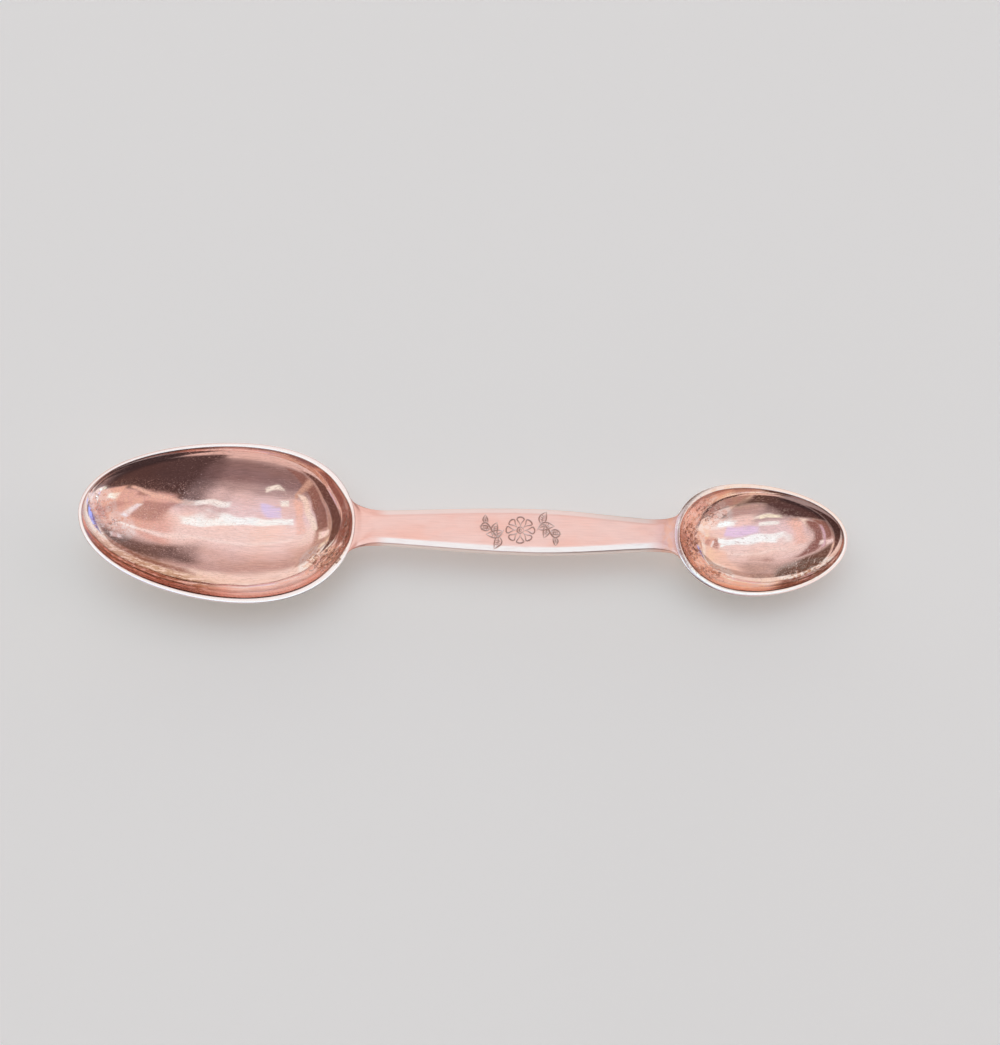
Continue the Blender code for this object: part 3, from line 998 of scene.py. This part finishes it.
@dataclass
class SolderRun:
    """A hollow fillet of solder in the corner between a lap's edge and the bowl's back."""

    node: str
    root: Root
    width: float = 0.86 * MM
    start: float = math.radians(14)
    stations: int = 110
    hollow_steps: int = 8
    sink: float = 0.005 * MM
    ripple: float = 0.05

    def rings(self) -> np.ndarray:
        """Sections of the fillet from one shoulder of the lap to the other."""
        turn = np.linspace(self.start, math.pi - self.start, self.stations)
        angle, level = self.root.path(turn)
        normal = self.root.bowl.outer_frame(angle, level)[2]
        outward = self.root.outward(turn)
        ends = smooth((turn - self.start) / 0.2) * smooth((math.pi - self.start - turn) / 0.2)
        taper = np.sqrt(np.sin(turn)) * (0.25 + 0.75 * ends)
        taper *= 1 + self.ripple * np.sin(turn * 23) * np.sin(turn * 9 + 1)
        corner = self.root.bowl.outer(angle, level) + (normal + outward) * self.sink
        sections = [corner]
        for swing in np.linspace(0, math.pi / 2, self.hollow_steps):
            width = self.width * (1 - math.sin(swing)) * taper
            height = self.root.edge * (1 - math.cos(swing)) * np.sqrt(np.sin(turn)) * 0.97
            sections.append(corner + outward * width[:, None] + normal * height[:, None])
        return np.stack(sections, axis=1)

    def build(self, metal: bpy.types.Material) -> bpy.types.Object:
        """Draw the fillet along the lap, section by section.

        Args:
            metal: Material of the solder.

        Returns:
            The finished run of solder.
        """
        rings = self.rings()
        Workpiece.clear_bench()
        bpy.ops.mesh.primitive_circle_add(vertices=rings.shape[1], radius=self.width,
                                          fill_type="NGON")
        bead = Workpiece(self.node + "_drawn")
        bead.mark(Mask.CORNER, np.arange(rings.shape[1]))
        bead.move_to(rings[0])
        bead.edit()
        bpy.ops.mesh.select_mode(type="FACE")
        for ring in rings[1:]:
            bpy.ops.mesh.extrude_region_move()
            mesh = bmesh.from_edit_mesh(bead.body.data)
            corner_of = mesh.verts.layers.float[Mask.CORNER.value]
            for vertex in mesh.verts:
                if vertex.select:
                    vertex.co = ring[round(vertex[corner_of])]
            bmesh.update_edit_mesh(bead.body.data)
        bead.weld(MM / 10000)
        bead.wipe(Mask.CORNER)
        return bead.finish(self.node, Slot.SOLDER, metal)


@dataclass(frozen=True)
class Grain:
    """Noise on a surface, and the shares that it is carried to.

    The size is that of the grain across its lines, in metres, and the stretch is how many
    times longer it is along them. The turn is the angle of the lines from X, in plan. The
    detail counts octaves of finer grain, and the roughness is their weight. As the noise
    runs through its span, the share eases from the first of the shares to the second.
    """

    size: float
    stretch: float
    turn: float
    detail: float
    span: Point = (0.0, 1.0)
    shares: Point = (0.0, 1.0)
    roughness: float = 0.5


class NodeBoard:
    """The node tree of a new material, with a short call for each kind of node."""

    def __init__(self, name: str) -> None:
        """Start a material that reads Object coordinates."""
        self.material = bpy.data.materials.new(name)
        self.material.use_nodes = True
        self.tree = self.material.node_tree
        self.shader = self.tree.nodes["Principled BSDF"]
        self.where = self.add("TexCoord").outputs["Object"]

    def add(self, kind: str) -> bpy.types.ShaderNode:
        """Put a new node on the board."""
        return self.tree.nodes.new("ShaderNode" + kind)

    def feed(self, socket: bpy.types.NodeSocket, value: object) -> None:
        """Link a socket, or set its value."""
        if isinstance(value, bpy.types.NodeSocket):
            self.tree.links.new(value, socket)
        elif isinstance(value, tuple) and socket.type == "RGBA":
            socket.default_value = (*value, 1.0)
        else:
            socket.default_value = value

    def math(self, operation: str, *values: object, clamp: bool = False) -> bpy.types.NodeSocket:
        """Combine one, two or three numbers."""
        node = self.add("Math")
        node.operation = operation
        node.use_clamp = clamp
        for socket, value in zip(node.inputs, values):
            self.feed(socket, value)
        return node.outputs[0]

    def times(self, first: object, second: object) -> bpy.types.NodeSocket:
        """Multiply two numbers."""
        return self.math("MULTIPLY", first, second)

    def mix(self, share: object, low: object, high: object,
            blend: str = "MIX") -> bpy.types.NodeSocket:
        """Mix two colours."""
        node = self.add("Mix")
        node.data_type = "RGBA"
        node.blend_type = blend
        for index, value in ((0, share), (6, low), (7, high)):
            self.feed(node.inputs[index], value)
        return node.outputs[2]

    def ease(self, value: object, start: float, stop: float, low: float = 0.0,
             high: float = 1.0) -> bpy.types.NodeSocket:
        """Carry a value smoothly from one range to another."""
        node = self.add("MapRange")
        node.interpolation_type = "SMOOTHSTEP"
        for name, number in (("Value", value), ("From Min", start), ("From Max", stop),
                             ("To Min", low), ("To Max", high)):
            self.feed(node.inputs[name], number)
        return node.outputs["Result"]

    def noise(self, grain: Grain) -> bpy.types.NodeSocket:
        """The noise of a grain, about 0.5."""
        laid = self.add("Mapping")
        laid.vector_type = "TEXTURE"
        laid.inputs["Rotation"].default_value = (0.0, 0.0, grain.turn)
        laid.inputs["Scale"].default_value = (grain.size * grain.stretch, grain.size, grain.size)
        self.feed(laid.inputs["Vector"], self.where)
        node = self.add("TexNoise")
        for name, value in (("Vector", laid.outputs[0]), ("Scale", 1.0),
                            ("Detail", grain.detail), ("Roughness", grain.roughness)):
            self.feed(node.inputs[name], value)
        return node.outputs["Fac"]

    def shares(self, grain: Grain) -> bpy.types.NodeSocket:
        """The noise of a grain, carried to its shares."""
        return self.ease(self.noise(grain), *grain.span, *grain.shares)

    def window(self, value: object, low: float, high: float, edge: float) -> bpy.types.NodeSocket:
        """Share that is 1 between two numbers, with soft edges."""
        away = self.math("ABSOLUTE", self.math("SUBTRACT", value, (low + high) / 2))
        half = (high - low) / 2
        return self.ease(away, half - edge / 2, half + edge / 2, 1.0, 0.0)

    def mask(self, mask: Mask) -> bpy.types.NodeSocket:
        """Read one of the point attributes."""
        node = self.add("Attribute")
        node.attribute_name = mask.value
        return node.outputs["Fac"]

    def places(self) -> bpy.types.bpy_prop_collection:
        """X, Y and Z of the Object coordinates."""
        split = self.add("SeparateXYZ")
        self.feed(split.inputs[0], self.where)
        return split.outputs

    def glow(self, color: object) -> bpy.types.ShaderNode:
        """Light of a colour, that is given off."""
        node = self.add("Emission")
        self.feed(node.inputs["Color"], color)
        return node

    def bump(self, height: object, depth: float) -> None:
        """Raise the surface by a height, in metres at a height of one."""
        node = self.add("Bump")
        self.feed(node.inputs["Height"], height)
        node.inputs["Distance"].default_value = depth
        self.feed(self.shader.inputs["Normal"], node.outputs["Normal"])


@dataclass(frozen=True)
class SilverFinish:
    """Worn silver: a rose film over bright metal, rubbed off at the edges, with painted highlights,
    painted reflections and painted shade in its colour.
    """

    name: str
    film: Color
    warm_film: Color
    bright: Color
    gloss: float
    worn_gloss: float
    streak: float
    scratch: float
    # Painted highlight for the near wall and the glints; brown for real stains and the painted brown
    # reflection; dark for real specks and the painted shade under the rims; the last is the painted
    # dark reflection.
    painted_highlight: Color = (1.0, 0.95, 0.91)
    stain_and_reflection_brown: Color = (0.52, 0.27, 0.17)
    gold: Color = (0.98, 0.74, 0.56)
    specks_and_rim_shade: Color = (0.26, 0.125, 0.09)
    groove: Color = (0.34, 0.165, 0.125)
    dark_reflection: Color = (0.42, 0.33, 0.32)
    cloud: Grain = Grain(7.0 * MM, 1.6, 0.1, 4.0, (0.35, 0.65))
    brushed: Grain = Grain(0.2 * MM, 26.0, 0.0, 3.0, roughness=0.6)
    reflection_streaks: Grain = Grain(0.45 * MM, 22.0, 0.0, 4.0, (0.4, 0.6), (0.5, 1.0))
    brown_reflection_streaks: Grain = Grain(0.5 * MM, 16.0, 0.05, 4.0, (0.40, 0.51), (0.0, -1.0))
    rubbed: Grain = Grain(0.8 * MM, 4.0, 0.0, 4.0, (0.2, 0.45), (0.75, 1.0))
    patchy: Grain = Grain(1.1 * MM, 1.5, 1.2, 5.0, (0.4, 0.6), (0.2, 1.0))
    spots: Grain = Grain(0.95 * MM, 1.4, 0.4, 6.0, (0.47, 0.56), roughness=0.68)
    specks: Grain = Grain(0.57 * MM, 1.4, 0.4, 6.0, (0.51, 0.57), roughness=0.68)
    glints: Grain = Grain(0.665 * MM, 1.4, 0.4, 6.0, (0.43, 0.38), roughness=0.68)
    hairlines: tuple[Grain, ...] = (Grain(0.09 * MM, 45.0, 0.06, 1.0, (0.66, 0.71)),
                                    Grain(0.11 * MM, 45.0, -0.35, 1.0, (0.69, 0.74)),
                                    Grain(0.12 * MM, 45.0, 1.1, 1.0, (0.71, 0.76)))
    sparseness: float = 0.2
    relief: float = 0.01 * MM

    def scratches(self, board: NodeBoard) -> bpy.types.NodeSocket:
        """A few long hairlines in three directions."""
        total = 0.0
        for lines in self.hairlines:
            total = board.math("ADD", board.shares(lines), total)
        return total

    def mottled(self, board: NodeBoard, grain: Grain) -> bpy.types.NodeSocket:
        """Spots in the tarnished places, close together where the metal is most tarnished: tarnish
        spots and specks, and painted glints.
        """
        tarnish = board.mask(Mask.TARNISH)
        thinning = board.math("MULTIPLY_ADD", tarnish, self.sparseness, -self.sparseness)
        spots = board.math("ADD", board.noise(grain), thinning)
        return board.times(board.ease(spots, *grain.span), board.ease(tarnish, 0.0, 0.15))

    def build(self) -> bpy.types.Material:
        """Wire the finish.

        Returns:
            The material.
        """
        board = NodeBoard(self.name)
        streaks = board.noise(self.brushed)
        hairlines = self.scratches(board)
        stain = self.mottled(board, self.spots)
        specks = self.mottled(board, self.specks)
        # Worn metal, and on the stem a painted highlight, both in the bright colour.
        worn = board.times(board.mask(Mask.WEAR_AND_HIGHLIGHT), board.shares(self.rubbed))
        color = board.mix(worn, self.filmed(board, streaks), self.bright)
        # Painted shade under the rims, joined with real dark tarnish specks.
        dark = board.math("MAXIMUM", board.times(board.mask(Mask.UNDER_RIM_SHADE), 0.75),
                          board.times(specks, 0.7))
        gilt = board.times(board.mask(Mask.GOLD), board.shares(self.patchy))
        # Painted glints: bright spots among the tarnish.
        glints = self.mottled(board, self.glints)
        for cover, share, tone in ((gilt, 0.85, self.gold), (stain, 0.7, self.stain_and_reflection_brown),
                                   (dark, 1.0, self.specks_and_rim_shade), (glints, 0.6, self.painted_highlight),
                                   (board.mask(Mask.CUT), 0.95, self.groove)):
            color = board.mix(board.times(cover, share), color, tone)
        gloss = board.math("MULTIPLY_ADD", worn, self.worn_gloss - self.gloss, self.gloss)
        gloss = board.math("ADD", gloss, board.ease(streaks, 0.45, 0.8, 0.0, 0.05))
        for cover, dulling in ((stain, 0.16), (hairlines, 0.12)):
            gloss = board.math("MULTIPLY_ADD", cover, dulling, gloss)
        relief = board.times(streaks, self.streak * 0.3)
        for cover, depth in ((hairlines, self.scratch), (stain, 1.5), (specks, 2.0)):
            relief = board.math("MULTIPLY_ADD", cover, -depth, relief)
        board.feed(board.shader.inputs["Base Color"], color)
        board.feed(board.shader.inputs["Roughness"], gloss)
        board.shader.inputs["Metallic"].default_value = 1.0
        board.bump(relief, self.relief)
        return board.material

    def filmed(self, board: NodeBoard, streaks: bpy.types.NodeSocket) -> bpy.types.NodeSocket:
        """Colour of the film: rose and streaked, with painted reflections where its masks say: pale
        by the heel and brown towards the tip on the near wall, dark on the far wall.

        Args:
            board: The board of the finish.
            streaks: Noise of the brushed lines.

        Returns:
            The colour.
        """
        film = board.mix(board.shares(self.cloud), self.film, self.warm_film)
        shade = board.ease(streaks, 0.3, 0.7, 1 - self.streak, 1 + self.streak)
        film = board.mix(1.0, film, shade, "MULTIPLY")
        # Painted reflections: streaked pale and brown on the near wall, dark on the far wall. The
        # brown colour serves real stains too.
        pale = board.mask(Mask.PALE)
        brown = board.math("MULTIPLY", pale, board.shares(self.brown_reflection_streaks), clamp=True)
        for cover, tone in ((board.times(pale, board.shares(self.reflection_streaks)), self.painted_highlight),
                            (brown, self.stain_and_reflection_brown), (board.mask(Mask.DARK_REFLECTION), self.dark_reflection)):
            film = board.mix(cover, film, tone)
        return film


@dataclass(frozen=True)
class Card:
    """A lit or dark card round the spoon, by what it spans and how soft its edges are.

    On the tent the span is in degrees from straight up, towards +X and towards +Y. On the
    gauze it is in millimetres along X and Y. A card can lean, which moves it along X for
    each step along Y, or rise, which moves it along Y for each step along X.
    """

    west: float
    east: float
    south: float
    north: float
    edge: float
    color: Color
    lean: float = 0.0
    rise: float = 0.0

    def cover(self, board: NodeBoard, along: bpy.types.NodeSocket,
              across: bpy.types.NodeSocket) -> bpy.types.NodeSocket:
        """How far the card covers a place.

        Args:
            board: The board of the cloth that carries it.
            along: Place along X, in the cloth's own measure.
            across: Place along Y.

        Returns:
            A share from 0 to 1.
        """
        laid_along, laid_across = along, across
        if self.lean:
            off_middle = board.math("SUBTRACT", across, (self.south + self.north) / 2)
            laid_along = board.math("MULTIPLY_ADD", off_middle, -self.lean, along)
        if self.rise:
            off_middle = board.math("SUBTRACT", along, (self.west + self.east) / 2)
            laid_across = board.math("MULTIPLY_ADD", off_middle, -self.rise, across)
        return board.times(board.window(laid_along, self.west, self.east, self.edge),
                           board.window(laid_across, self.south, self.north, self.edge))


@dataclass(frozen=True)
class Studio:
    """A pale floor under a soft lit tent, and the camera above the spoon."""

    floor_color: Color = (0.93, 0.92, 0.91)
    floor_lift: Color = (0.12, 0.175, 0.17)
    floor_roughness: float = 0.75
    floor_grain: Grain = Grain(2.0 * MM, 1.0, 0.0, 4.0, (0.3, 0.7), (0.985, 1.0))
    gauze_spread: float = 12.0
    backdrop: Color = (0.84, 0.84, 0.83)
    room: float = 9.0
    tilt: float = math.radians(25.0)
    roll: float = 0.0276
    distance: float = 0.39171
    target: tuple[float, float, float] = (0.00685, 0.00123, 0.009)
    lens: float = 68.9
    cloth: tuple[tuple[float, Color], ...] = (
        (-90, (0.80, 0.70, 0.66)), (-76, (0.86, 0.72, 0.69)), (-67, (0.46, 0.36, 0.35)),
        (-58, (0.30, 0.22, 0.22)), (-34, (0.30, 0.23, 0.25)), (-22, (0.50, 0.44, 0.47)),
        (-12, (0.84, 0.78, 0.84)), (2, (0.88, 0.83, 0.92)), (17, (0.99, 0.93, 0.94)),
        (25, (0.97, 0.93, 0.94)), (35, (0.92, 0.85, 0.87)), (42, (0.79, 0.67, 0.67)),
        (50, (0.66, 0.53, 0.51)), (58, (0.62, 0.49, 0.48)), (66, (0.97, 0.94, 0.92)),
        (76, (0.98, 0.93, 0.89)), (90, (0.80, 0.75, 0.72)))
    cards: tuple[Card, ...] = (
        Card(14, 70, -110, -12, 15, (0.10, 0.065, 0.065), rise=-0.65),
        Card(-70, 15, -78, -69, 6, (0.78, 0.62, 0.58)),
        Card(-70, 62, -120, -77, 6, (0.84, 0.66, 0.62)),
        Card(66, 120, -120, -66, 6, (0.11, 0.07, 0.07)),
        Card(22, 48, -12, 36, 6, (0.82, 0.60, 0.57), rise=-0.35),
        Card(45, 75, -22, 44, 5, (0.88, 0.64, 0.58)),
        Card(22, 33, 1, 22, 4, (0.54, 0.37, 0.36), lean=0.3),
        Card(29, 36, -13, -6, 3, (0.46, 0.31, 0.29)),
        Card(42, 52, 6, 26, 5, (0.64, 0.44, 0.42), lean=0.5),
        Card(52, 66, 24, 40, 6, (0.60, 0.38, 0.37)),
        Card(46, 56, -9, 2, 4, (1.03, 1.14, 1.12)),
        Card(18, 42, -11, -7, 3, (0.92, 0.72, 0.64), rise=-0.85),
        Card(16, 62, 45, 62, 9, (0.20, 0.145, 0.14), rise=0.4),
        Card(-62, -44, 22, 64, 5, (0.54, 0.40, 0.38)),
        Card(-62, -45, -66, 24, 4, (0.31, 0.18, 0.16)),
        Card(-67, -62, -62, 48, 2.5, (0.55, 0.41, 0.37)),
        Card(-90, -67, -72, 70, 2, (0.15, 0.08, 0.07)),
        Card(-62, -28, -40, -34, 3, (0.66, 0.49, 0.41), rise=1.07),
        Card(-64, -50, 31, 41, 3, (1.02, 1.00, 1.05), rise=-0.5),
        Card(-67, -56, 50, 57, 3, (0.87, 0.74, 0.62)),
        Card(-43, -36, -24, 20, 3, (1.00, 1.03, 0.99), lean=-0.17),
        Card(-33, -25, -16, 22, 4, (0.94, 0.76, 0.72)),
        Card(22, 62, 62, 70, 4, (0.46, 0.31, 0.28)),
        Card(-22, 46, 28, 31, 2, (1.02, 1.04, 1.06), rise=0.12),
        Card(42, 52, 49, 53, 2, (0.85, 0.78, 0.84), rise=0.7),
        Card(67, 73, 54, 70, 3, (0.20, 0.17, 0.42)),
        Card(72, 86, 54, 71, 3, (0.42, 0.56, 1.40)),
        Card(33, 37, 7, 23, 2, (0.95, 1.06, 1.24), lean=0.35),
        Card(-12, -1, -8, 3, 3, (0.80, 0.88, 1.34)),
        Card(-18, -5, -28.5, -23.5, 2, (1.02, 1.16, 1.12), rise=0.45),
        Card(-20, -12, -15, -9, 2, (1.02, 1.28, 1.32)),
        Card(9, 17.5, -4, 2.5, 2, (1.02, 1.28, 1.38), rise=0.4),
        Card(-22, 12, 5, 13, 2, (1.06, 1.42, 1.54), rise=0.1),
        Card(9, 18.5, 10.5, 16.5, 2, (1.06, 1.42, 1.54), rise=0.5),
    )
    gauzes: tuple[tuple[float, tuple[Card, ...]], ...] = (
        (30.0 * MM, (
            Card(54, 98, 13, 40, 6, (0.96, 0.82, 0.75)),
            Card(50, 95, 40, 62, 6, (0.58, 0.46, 0.42)),
            Card(28, 52, 21, 64, 6, (0.17, 0.11, 0.09)),
            Card(66, 150, -27, 1, 5, (0.98, 0.86, 0.84)),
            Card(52, 64, -26, -8, 6, (0.56, 0.45, 0.45)),
            Card(63, 100, -31, -15, 5, (0.80, 0.68, 0.66)),
            Card(22, 52, -150, -7.5, 4, (0.10, 0.06, 0.06), rise=0.2),
            Card(40, 61, -150, -28, 9, (0.12, 0.075, 0.07)),
            Card(61, 130, -140, -32, 10, (0.46, 0.31, 0.29)),
            Card(45, 50.2, -3, 20, 2, (0.28, 0.15, 0.14), lean=0.15),
            Card(41.6, 44.8, -1, 19, 1.5, (0.70, 0.58, 0.76), lean=0.15),
            Card(44.5, 47.5, 12, 15.5, 1.5, (1.02, 1.14, 1.18)))),
        (60.0 * MM, (
            Card(50, 140, -30, 3, 6, (0.98, 0.88, 0.88)),
            Card(46, 66, -9, 4, 5, (0.86, 0.84, 1.22), rise=-0.5),
            Card(38, 47, -23, -15.5, 2, (1.18, 1.40, 1.16)),
            Card(57, 83, -22, -13.5, 4, (1.04, 1.32, 1.40), rise=-0.25),
            Card(40, 76, 6, 15.5, 3, (1.06, 1.42, 1.54), rise=-0.25))),
    )

    def lay_floor(self) -> None:
        """Lay the floor, in a plain pale paint with the faintest grain."""
        Workpiece.clear_bench()
        bpy.ops.mesh.primitive_plane_add(size=2 * self.room)
        floor = Workpiece("floor")
        board = NodeBoard("floor_paint")
        paint = board.mix(1.0, self.floor_color, board.shares(self.floor_grain), "MULTIPLY")
        rays = board.add("LightPath").outputs
        seen = board.math("MAXIMUM", rays["Is Camera Ray"], rays["Is Glossy Ray"])
        for name, value in (("Base Color", paint), ("Roughness", self.floor_roughness),
                            ("Emission Color", self.floor_lift), ("Emission Strength", seen)):
            board.feed(board.shader.inputs[name], value)
        floor.body.data.materials.append(board.material)

    def pitch_tent(self) -> None:
        """Pitch the tent: a lit dome, bright above and dim behind the camera."""
        Workpiece.clear_bench()
        bpy.ops.mesh.primitive_uv_sphere_add(segments=48, ring_count=24, radius=self.room)
        tent = Workpiece("tent")
        board = NodeBoard("tent_cloth")
        places = board.places()
        toward_x, toward_y = (
            board.math("DEGREES", board.math("ARCTAN2", places[axis], places["Z"]))
            for axis in ("X", "Y"))
        ramp = board.add("ValToRGB")
        ramp.color_ramp.interpolation = "EASE"
        stops = ramp.color_ramp.elements
        while len(stops) < len(self.cloth):
            stops.new(0.5)
        for stop, (degrees, color) in zip(stops, self.cloth):
            stop.position = 0.5 + degrees / 180
            stop.color = (*color, 1.0)
        board.feed(ramp.inputs[0], board.math("MULTIPLY_ADD", toward_y, 1 / 180, 0.5))
        color = ramp.outputs["Color"]
        for card in self.cards:
            color = board.mix(card.cover(board, toward_x, toward_y), color, card.color)
        self.spread_cloth(tent, board, board.glow(color))

    def spread_cloth(self, cloth: Workpiece, board: NodeBoard,
                     shader: bpy.types.ShaderNode) -> None:
        """Give a cloth its shader, and hide it from the camera.

        Args:
            cloth: The cloth.
            board: The board of its material.
            shader: The last shader on the board.
        """
        board.tree.nodes.remove(board.shader)
        board.feed(board.tree.nodes["Material Output"].inputs["Surface"], shader.outputs[0])
        board.material.cycles.emission_sampling = "NONE"
        cloth.body.data.materials.append(board.material)
        cloth.body.visible_camera = False

    def hang_gauze(self, name: str, height: float, cards: tuple[Card, ...]) -> None:
        """Hang a clear gauze over the spoon, with cards that only the nearest bowl sees.

        Args:
            name: Name of the gauze.
            height: Its height over the floor.
            cards: The cards on it.
        """
        Workpiece.clear_bench()
        bpy.ops.mesh.primitive_plane_add(size=height * self.gauze_spread, location=(0, 0, height))
        gauze = Workpiece(name)
        board = NodeBoard(name + "_cloth")
        places = board.places()
        along, across = (board.times(places[axis], 1 / MM) for axis in ("X", "Y"))
        color, covered = self.backdrop, 0.0
        for card in cards:
            cover = card.cover(board, along, across)
            color = board.mix(cover, color, card.color)
            covered = board.math("MAXIMUM", cover, covered)
        blend = board.add("MixShader")
        clear = board.add("BsdfTransparent")
        parts = (covered, clear.outputs[0], board.glow(color).outputs[0])
        for socket, value in zip(blend.inputs, parts):
            board.feed(socket, value)
        self.spread_cloth(gauze, board, blend)
        gauze.body.visible_diffuse = False
        gauze.body.visible_shadow = False

    def set_backdrop(self) -> None:
        """Give the room beyond the floor a plain pale colour."""
        world = bpy.data.worlds.new("backdrop")
        world.use_nodes = True
        world.node_tree.nodes["Background"].inputs["Color"].default_value = (*self.backdrop, 1.0)
        bpy.context.scene.world = world

    def set_camera(self) -> None:
        """Place the camera, tilted back from straight down and rolled a little."""
        lens = bpy.data.cameras.new("camera")
        lens.lens = self.lens
        lens.sensor_fit = "AUTO"
        lens.clip_start = 10 * MM
        lens.clip_end = 2 * self.room
        camera = bpy.data.objects.new("camera", lens)
        bpy.context.scene.collection.objects.link(camera)
        back = Vector((0.0, -math.sin(self.tilt), math.cos(self.tilt)))
        right = Vector((1.0, 0.0, 0.0))
        up = back.cross(right)
        rolled_right = right * math.cos(self.roll) + up * math.sin(self.roll)
        rolled_up = up * math.cos(self.roll) - right * math.sin(self.roll)
        turn = Matrix((rolled_right, rolled_up, back)).transposed()
        spot = Vector(self.target) + back * self.distance
        camera.matrix_world = Matrix.Translation(spot) @ turn.to_4x4()
        bpy.context.scene.camera = camera

    def build(self) -> None:
        """Set up the whole studio."""
        self.lay_floor()
        self.pitch_tent()
        for index, (height, cards) in enumerate(self.gauzes):
            self.hang_gauze(f"gauze_{index + 1}", height, cards)
        self.set_backdrop()
        self.set_camera()
        bpy.context.scene.view_settings.view_transform = "Standard"


def stains(kind: Mask, *rows: tuple[float, ...]) -> tuple[Patch, ...]:
    """Patches of one kind.

    Args:
        kind: What they stain the metal with.
        rows: Along, across, reach and spread of each in millimetres, then its strength.

    Returns:
        The patches.
    """
    return tuple(Patch(kind, *(size * MM for size in sizes), strength)
                 for *sizes, strength in rows)


def main() -> None:
    """Build the spoon piece by piece, then the studio."""
    bowl_silver = SilverFinish(
        "bowl_silver", film=(0.895, 0.655, 0.60), warm_film=(0.92, 0.63, 0.54),
        bright=(0.99, 0.91, 0.87), gloss=0.05, worn_gloss=0.20, streak=0.10,
        scratch=0.3).build()
    stem_silver = SilverFinish(
        "stem_silver", film=(0.94, 0.65, 0.58), warm_film=(0.95, 0.58, 0.49),
        bright=(0.97, 0.85, 0.79), gloss=0.28, worn_gloss=0.30, streak=0.04,
        scratch=0.4, gold=(0.98, 0.58, 0.43)).build()
    solder = SilverFinish(
        "silver_solder", film=(0.62, 0.48, 0.40), warm_film=(0.55, 0.42, 0.34),
        bright=(0.80, 0.72, 0.66), gloss=0.38, worn_gloss=0.30, streak=0.05,
        scratch=0.3).build()
    large = Bowl(
        "large_bowl", End.LARGE, rim_dip=1.4 * MM, rest=5.0 * MM, fullness=0.144,
        squareness=0.095, deepest_share=0.31, hollow_share=0.36, shoulder=11.8 * MM,
        heel_band=0.45 * MM, pale_reach=30.0 * MM, dark_reflection_from=33.0 * MM,
        dark_reflection_to=50.0 * MM, dark_reflection_depth=2.2 * MM,
        patches=(*stains(Mask.TARNISH, (5.2, -6.0, 5.0, 4.0, 1.0), (1.8, 0.0, 1.1, 6.0, 0.8),
                         (49.5, 1.0, 2.5, 4.5, 0.6), (47.0, -1.5, 3.5, 3.0, 0.6)),
                 *stains(Mask.GOLD, (5.0, -4.0, 7.0, 7.0, 0.8), (44.0, 3.5, 6.0, 5.0, 0.5),
                         (38.0, -11.0, 13.0, 4.0, 0.3))),
        waves=Unevenness(5, 0.018 * MM, 4.0 * MM, 12.0 * MM))
    small = Bowl(
        "small_bowl", End.SMALL, rim_dip=1.4 * MM, rest=4.0 * MM, fullness=0.134,
        squareness=0.059, deepest_share=0.31, hollow_share=0.35, shoulder=9.4 * MM,
        heel_band=0.95 * MM, pale_reach=25.0 * MM, dark_reflection_from=19.5 * MM,
        dark_reflection_to=40.0 * MM, dark_reflection_depth=2.0 * MM,
        patches=(*stains(Mask.TARNISH, (3.6, 0.5, 2.7, 6.0, 1.0), (6.5, -6.0, 5.0, 3.0, 0.85),
                         (7.0, 7.0, 4.5, 2.5, 0.75), (27.0, -5.5, 6.0, 2.5, 0.55)),
                 *stains(Mask.GOLD, (4.5, 0.0, 5.0, 7.5, 1.0), (12.0, 10.0, 9.0, 2.0, 0.8),
                         (20.0, -9.0, 14.0, 2.5, 0.8))),
        waves=Unevenness(8, 0.014 * MM, 3.5 * MM, 9.0 * MM), segments=256, levels=64)
    columns = 112
    large_root = Root(large, drop=6.2 * MM, length=5.2 * MM, neck_width=7.5 * MM,
                      columns=columns)
    small_root = Root(small, drop=4.6 * MM, length=4.4 * MM, neck_width=6.8 * MM,
                      columns=columns, hollow=0.04 * MM)
    large.build(bowl_silver)
    small.build(bowl_silver)
    Stem(large_root, small_root, Engraving((10.9 * MM, 0.0))).build(stem_silver)
    SolderRun("large_solder_fillet", large_root).build(solder)
    SolderRun("small_solder_fillet", small_root).build(solder)
    Studio().build()
    LOG.info("studio set")


if __name__ == "__main__":
    logging.basicConfig(level=logging.INFO)
    main()
